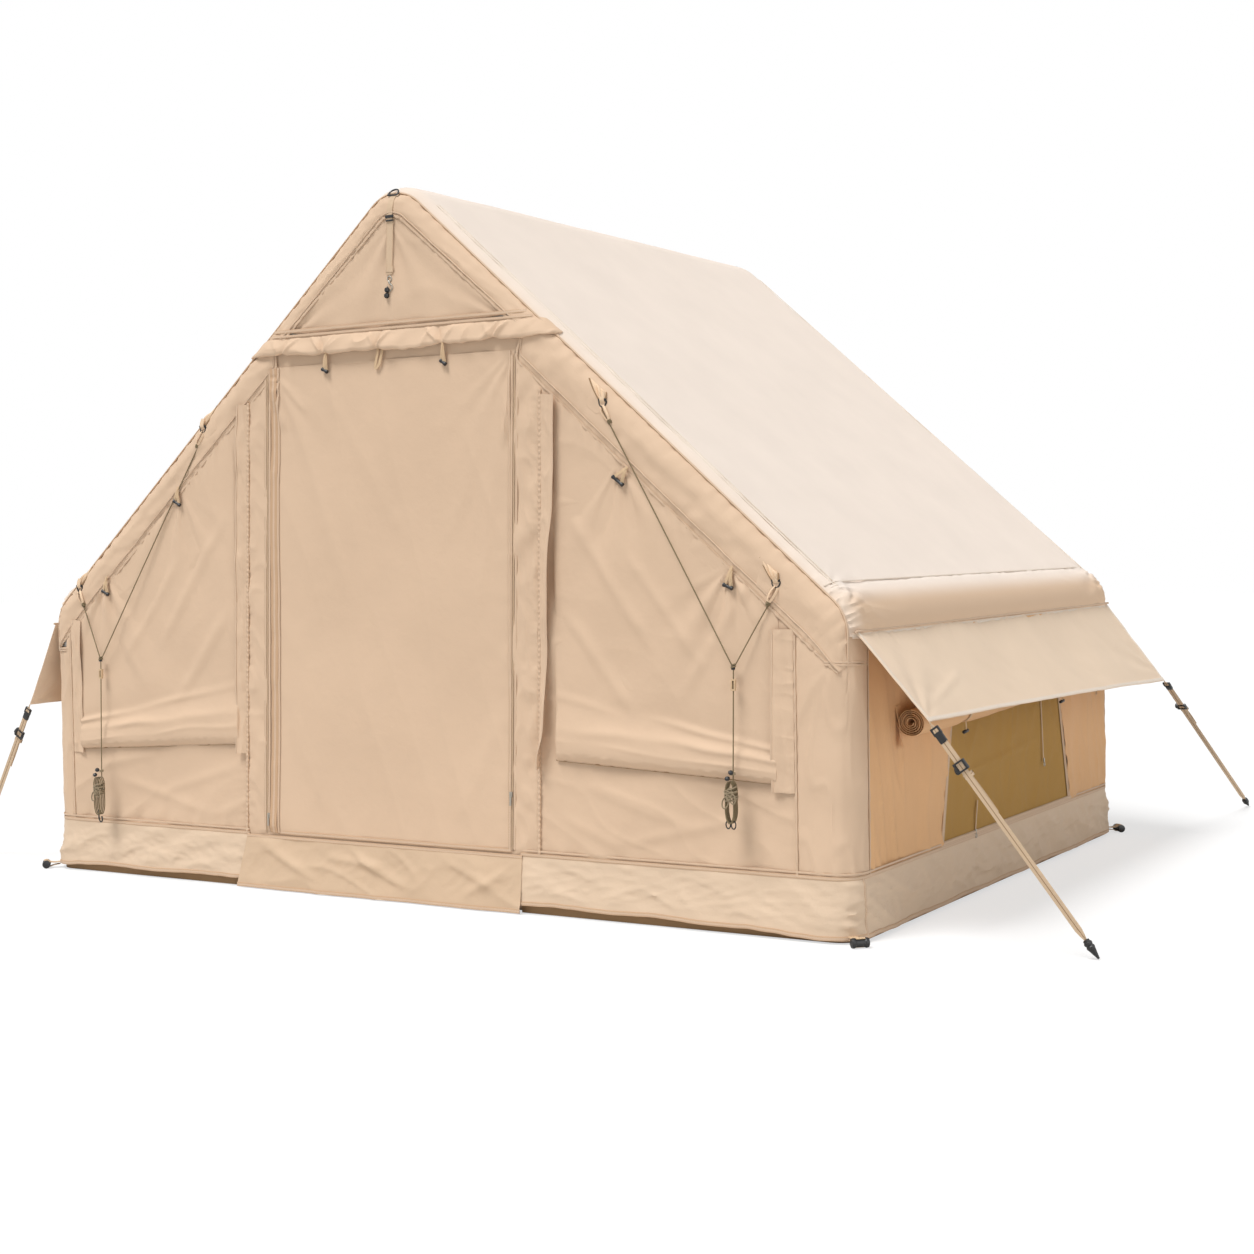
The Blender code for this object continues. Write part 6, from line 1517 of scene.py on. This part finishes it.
metal.add(block(Vector(seat[0]) + Vector(out[0]) * 0.006, ((1, 0, 0), (0, 0, 1), (0, 1, 0)), (0.031, 0.009, 0.006), 0.0025))
metal.add(block(Vector(seat[0]) + Vector(out[0]) * 0.006 + Vector((0, 0, -0.012)), ((1, 0, 0), (0, 0, 1), (0, 1, 0)), (0.028, 0.005, 0.005), 0.002))
metal.build()

lo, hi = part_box("lamp_hook")
axis = Vector(((lo.x + hi.x) / 2, FRONT - 0.0028, hi.z - 0.0025))
hook = Piece("snap_hook", "lamp_hook", "hook_steel")
hook.add(hoop(axis + Vector((-0.009, 0, -0.006)), (1, 0, 0), (0, 0, 1), 0.0075, (0, -1, 0), round_profile(0.0019, 8)))
gate = [axis + Vector((-0.009, -0.001, d)) + Vector((x, 0, 0)) for x, d in ((0, -0.014), (0.001, -0.020), (0.009, -0.026), (0.010, -0.036), (0.001, -0.044),
                                                                               (-0.008, -0.038), (-0.008, -0.028))]
hook.add(sweep(curve_points(gate, 6), (0, -1, 0), round_profile(0.0021, 8)))
hook.add(lathe(axis + Vector((-0.009, -0.001, -0.013)), (0, 0, -1), [(0, 0.003), (0.002, 0.0042), (0.006, 0.0042), (0.008, 0.003)], 14, (1, 0, 0)))
hook.build("lamp_hook")
beads = Piece("hook_beads", "lamp_hook", "black_plastic")
for k in range(2):
    base = axis + Vector((-0.017 - 0.002 * k, -0.004, -0.032 - 0.017 * k))
    beads.add(lathe(base, (0.1, 0, -1), [(0, 0.0035), (0.003, 0.0072), (0.008, 0.0082), (0.013, 0.0070), (0.0155, 0.0035)], 18, (1, 0, 0)))
beads.build()

# Toggles under the hood and at the window covers


def toggle(piece, bars, top, foot, long=0.028, tilt=20, lift=0.007):
    """A tape loop from a seam that opens to a toggle bar at its foot; top and foot are (x, z)."""
    ax, az = math.cos(math.radians(tilt)), -math.sin(math.radians(tilt))
    grip = long / 2 - 0.007
    for off in (-1, 1):
        route = [(top[0] - off * 0.001, top[1], 0), ((top[0] + foot[0]) / 2 + off * grip * 0.40 * ax, (top[1] + foot[1]) / 2 + off * grip * 0.40 * az, 0),
                 (foot[0] + off * grip * ax, foot[1] + off * grip * az, 0)]
        p, n = front_path(np.array(curve_points(route, 6))[:, :2], lift, 0.004)
        bulge = 0.005 * np.sin(np.linspace(0, math.pi, len(p)))[:, None]
        piece.add(sweep(p + n * bulge, n + np.array([off * 0.35, 0, 0]), flat_profile(0.0095, 0.0018, 0.0003), scale=np.linspace(0.75, 1.15, len(p))))
    seat, out = gable(np.array([foot[0]]), np.array([foot[1]]))
    base = Vector(seat[0]) + Vector(out[0]) * (lift + 0.002) - Vector((ax, 0, az)) * long / 2
    rows = [(0, 0.003), (0.0015, 0.0058), (0.006, 0.0064), (0.009, 0.0050), (long - 0.009, 0.0050), (long - 0.006, 0.0064), (long - 0.0015, 0.0058), (long, 0.003)]
    bars.add(lathe(base, (ax, 0, az), rows, 16, (0, 1, 0)))


hood_loops = Piece("hood_toggle_loops", "tent", "webbing")
hood_bars = Piece("hood_toggles", "tent", "black_plastic")
toggle(hood_loops, hood_bars, (-0.252, 1.704), (-0.262, 1.634), 0.026, 28, 0.008)
toggle(hood_loops, hood_bars, (0.190, 1.704), (0.189, 1.632), 0.026, 35, 0.008)
route = [(-0.050, 1.706), (-0.056, 1.676), (-0.066, 1.632), (-0.052, 1.640), (-0.040, 1.676), (-0.036, 1.706)]
p, n = front_path(np.array(curve_points([(*r, 0) for r in route], 6))[:, :2], 0.008, 0.003)
hood_loops.add(sweep(p, n, flat_profile(0.0095, 0.0018)))
hood_loops.build()
hood_bars.build()
for key in SIDES:
    loops = Piece(f"cover_loops_{key}", f"cover_{key}", "webbing")
    bars = Piece(f"cover_toggles_{key}", f"cover_{key}", "black_plastic")
    if key == "right":
        toggle(loops, bars, (0.822, 1.300), (0.790, 1.262), 0.046, 38, 0.010)
        toggle(loops, bars, (1.150, 1.018), (1.137, 0.962), 0.034, 22, 0.010)
    else:
        toggle(loops, bars, (-0.884, 1.292), (-0.890, 1.240), 0.034, 30, 0.010)
        toggle(loops, bars, (-1.216, 1.002), (-1.224, 0.948), 0.034, 25, 0.010)
    loops.build()
    bars.build()

# Guy anchors: tab, ring and the patch sewn under them
for key, side in SIDES.items():
    for where, (x, z) in zip(("upper", "lower"), anchor_spots(key)):
        # The tab's lighter cloth is painted highlight
        tabs = Piece(f"anchor_tab_{where}_{key}", "tent", "webbing", "gusset")
        centre = ring_centre((x, z))
        slope = Vector((COS * side, 0, -SIN))
        top = Vector((x - 0.45 * side * 0.048, 0, z + 0.046))
        u, v = np.linspace(-1, 1, 25)[None, :], np.linspace(0, 1, 18)[:, None]
        half = lerp(0.040, 0.0090, v**0.75)
        mx, mz = lerp(top.x, centre.x, v), lerp(top.z, centre.z + RING * 0.8, v)
        turn_x, turn_z = lerp(slope.x, side * 1.0, v), lerp(slope.z, 0.0, v)
        gx, gz = mx + turn_x * u * half, mz + turn_z * u * half
        points, normals = gable(gx, gz)
        rise = 0.0036 + 0.0090 * np.sin(math.pi * v) ** 0.7 * (1 - 0.75 * np.abs(u - 0.25)) + 0.0040 * v
        rise = rise + 0.0038 * np.cos(u * 9) * np.sin(math.pi * v)
        points = points + normals * np.maximum(rise, 0.003)[..., None]
        tabs.add(shell(points, normals, 0.0016))
        fold = [centre + Vector((0, 0.001, RING * 0.2)), centre + Vector((0, -0.0045, RING - 0.001)), centre + Vector((0, -0.0035, RING + 0.010)),
                centre + Vector((-0.004 * side, -0.0015, RING + 0.022))]
        tabs.add(sweep(curve_points(fold, 5), (0, -1, 0.2), flat_profile(0.015, 0.0020)))
        tabs.build(f"guy_anchor_{where}_{key}")
        # Painted shade: dark bands along both edges of the tab stand for the shade beside it
        painted_shade_edges = Piece(f"anchor_edges_{where}_{key}", "tent", "webbing", "painted_shade_line")
        for column in (0, -1):
            painted_shade_edges.add(sweep(points[1:-1, column], (0, -1, 0.2), flat_profile(0.0042, 0.0022, 0.0004)))
        painted_shade_edges.build()
        rings = Piece(f"anchor_ring_{where}_{key}", "tent", "black_plastic")
        shape = [centre + Vector((a, 0, b)) for a, b in ((-0.012, 0.006), (-0.011, -0.002), (-0.006, -0.009), (0, -0.0105), (0.006, -0.009), (0.011, -0.002),
                                                           (0.012, 0.006), (0.0, 0.008))]
        rings.add(sweep(np.array(curve_points(shape + [shape[0]], 4)[:-1]), (0, -1, 0), round_profile(0.0023, 8), closed=True))
        rings.add(block(centre + Vector((0, -0.002, 0.0085)), ((1, 0, 0), (0, 1, 0), (0, 0, 1)), (0.026, 0.006, 0.0075), 0.0022))
        rings.build()
        u, v = np.linspace(0, 1, 24)[None, :], np.linspace(0, 1, 20)[:, None]
        along = Vector((COS * side, -SIN))
        inward = Vector((-SIN * side, -COS))
        px = x - 0.012 * side + along.x * (u - 0.5) * 0.150 * (1 - 0.72 * v) + inward.x * (v * 0.070 - 0.020)
        pz = z + 0.010 + along.y * (u - 0.5) * 0.150 * (1 - 0.72 * v) + inward.y * (v * 0.070 - 0.020)
        points, normals = gable(px, pz)
        rim = np.minimum(np.minimum(u, 1 - u), np.minimum(v, 1 - v))
        lift = 0.0018 + 0.0022 * smoothstep(rim / 0.12) + 0.0006 * waves(181, px, pz, 0.05)
        cloth(f"anchor_patch_{where}_{key}", "tent", "wall_cloth", points, normals, lift)

# Corner pegs with their tongues
for key, side in SIDES.items():
    for end_name, end in ENDS.items():
        diagonal = Vector((side, end, 0)).normalized()
        corner = Vector(((HALF_WIDTH - EDGE) * side, EDGE_LINE * end, 0))
        face = EDGE + GAP + 0.002 + 0.018
        start = corner + diagonal * (face + 2 * GAP)
        tip = start + diagonal * 0.046
        across = Vector((-diagonal.y, diagonal.x, 0))
        peg = Piece(f"corner_toggle_{end_name}_{key}", "tent", "black_plastic")
        base = tip + Vector((0, 0, 0.014)) - across * 0.026
        rows = [(0, 0.008), (0.002, 0.0125), (0.006, 0.0138), (0.010, 0.0138), (0.012, 0.0120), (0.016, 0.0112), (0.036, 0.0112), (0.040, 0.0120),
                (0.042, 0.0138), (0.046, 0.0138), (0.050, 0.0125), (0.052, 0.008)]
        peg.add(lathe(base, across, rows, 28))
        peg.build(f"corner_peg_{end_name}_{key}")
        tongue = Piece(f"corner_tongue_{end_name}_{key}", "tent", "webbing")
        route = [start - diagonal * 0.004 + Vector((0, 0, 0.020)), start + diagonal * 0.014 + Vector((0, 0, 0.018)),
                 tip - diagonal * 0.013 + Vector((0, 0, 0.020)), tip - diagonal * 0.003 + Vector((0, 0, 0.0268)), tip + diagonal * 0.008 + Vector((0, 0, 0.0255))]
        tongue.add(sweep(curve_points(route, 6), (0, 0, 1), flat_profile(0.026, 0.0016, 0.0003)))
        route = [start + Vector((0, 0, 0.012)), start + diagonal * 0.020 + Vector((0, 0, 0.009)), tip - diagonal * 0.010 + Vector((0, 0, 0.004)),
                 tip + diagonal * 0.001 + Vector((0, 0, 0.0016))]
        tongue.add(sweep(curve_points(route, 6), (0, 0, 1), flat_profile(0.026, 0.0014, 0.0003)))
        tongue.build()

# Awning seam piping
for key, side in SIDES.items():
    y = np.linspace(-1.11, 1.11, 200)
    x = np.full(y.shape, (HALF_WIDTH + 0.004) * side)
    z = np.full(y.shape, SEAM_Z + 0.004)
    piping.add(sweep(np.stack([x, y, z], -1), (side, 0, 0.3), round_profile(0.0036, 8)))

seams.build()
piping.build()
roof_seams.build()
for name in ("inflation_valve", "valve_cap"):
    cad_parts[name].material_slots[0].material = LOOKS["black_plastic"]

# Floor, world and lamps
bpy.ops.mesh.primitive_plane_add(size=60, location=(0, 0, -0.0005))
floor = bpy.context.object
floor.name = "studio_floor"
look, tree, shader = new_look("Studio floor")
paper = node(tree, "ShaderNodeBsdfDiffuse")
paper.inputs["Color"].default_value = (0.76, 0.76, 0.75, 1)
shown = node(tree, "ShaderNodeBsdfDiffuse")
shown.inputs["Color"].default_value = (0.36, 0.36, 0.36, 1)
glow = node(tree, "ShaderNodeEmission")
glow.inputs["Color"].default_value = (0.62, 0.62, 0.62, 1)
seen = node(tree, "ShaderNodeAddShader", [(shown.outputs[0], 0), (glow.outputs[0], 1)])
light_path = node(tree, "ShaderNodeLightPath")
both = node(tree, "ShaderNodeMixShader", [(light_path.outputs["Is Camera Ray"], 0), (paper.outputs[0], 1), (seen.outputs[0], 2)])
tree.links.new(both.outputs[0], tree.nodes["Material Output"].inputs["Surface"])
tree.nodes.remove(shader)
floor.data.materials.append(look)

world = bpy.data.worlds.new("Studio")
bpy.context.scene.world = world
world.use_nodes = True
tree = world.node_tree
plain = tree.nodes["Background"]
plain.inputs["Color"].default_value = (1.0, 0.985, 0.96, 1)
plain.inputs["Strength"].default_value = 0.27
white = node(tree, "ShaderNodeBackground")
white.inputs["Color"].default_value = (1, 1, 1, 1)
white.inputs["Strength"].default_value = 1.0
rays = node(tree, "ShaderNodeLightPath")
one = node(tree, "ShaderNodeMath", [(rays.outputs["Is Camera Ray"], 0), (rays.outputs["Is Glossy Ray"], 1)], operation="MAXIMUM")
two = node(tree, "ShaderNodeMath", [(one.outputs[0], 0), (rays.outputs["Is Transmission Ray"], 1)], operation="MAXIMUM")
pick = node(tree, "ShaderNodeMixShader", [(two.outputs[0], 0), (plain.outputs[0], 1), (white.outputs[0], 2)])
tree.links.new(pick.outputs[0], tree.nodes["World Output"].inputs["Surface"])


def lamp(name, towards, strength, angle):
    light = bpy.data.lights.new(name, "SUN")
    light.energy = strength
    light.angle = math.radians(angle)
    obj = bpy.data.objects.new(name, light)
    obj.rotation_euler = Vector(towards).to_track_quat("Z", "Y").to_euler()
    bpy.context.scene.collection.objects.link(obj)


lamp("Key", (-0.20, -0.42, 0.88), 0.96 * math.pi, 24)
lamp("Fill", (0.9, -0.3, 0.3), 0.26 * math.pi, 50)
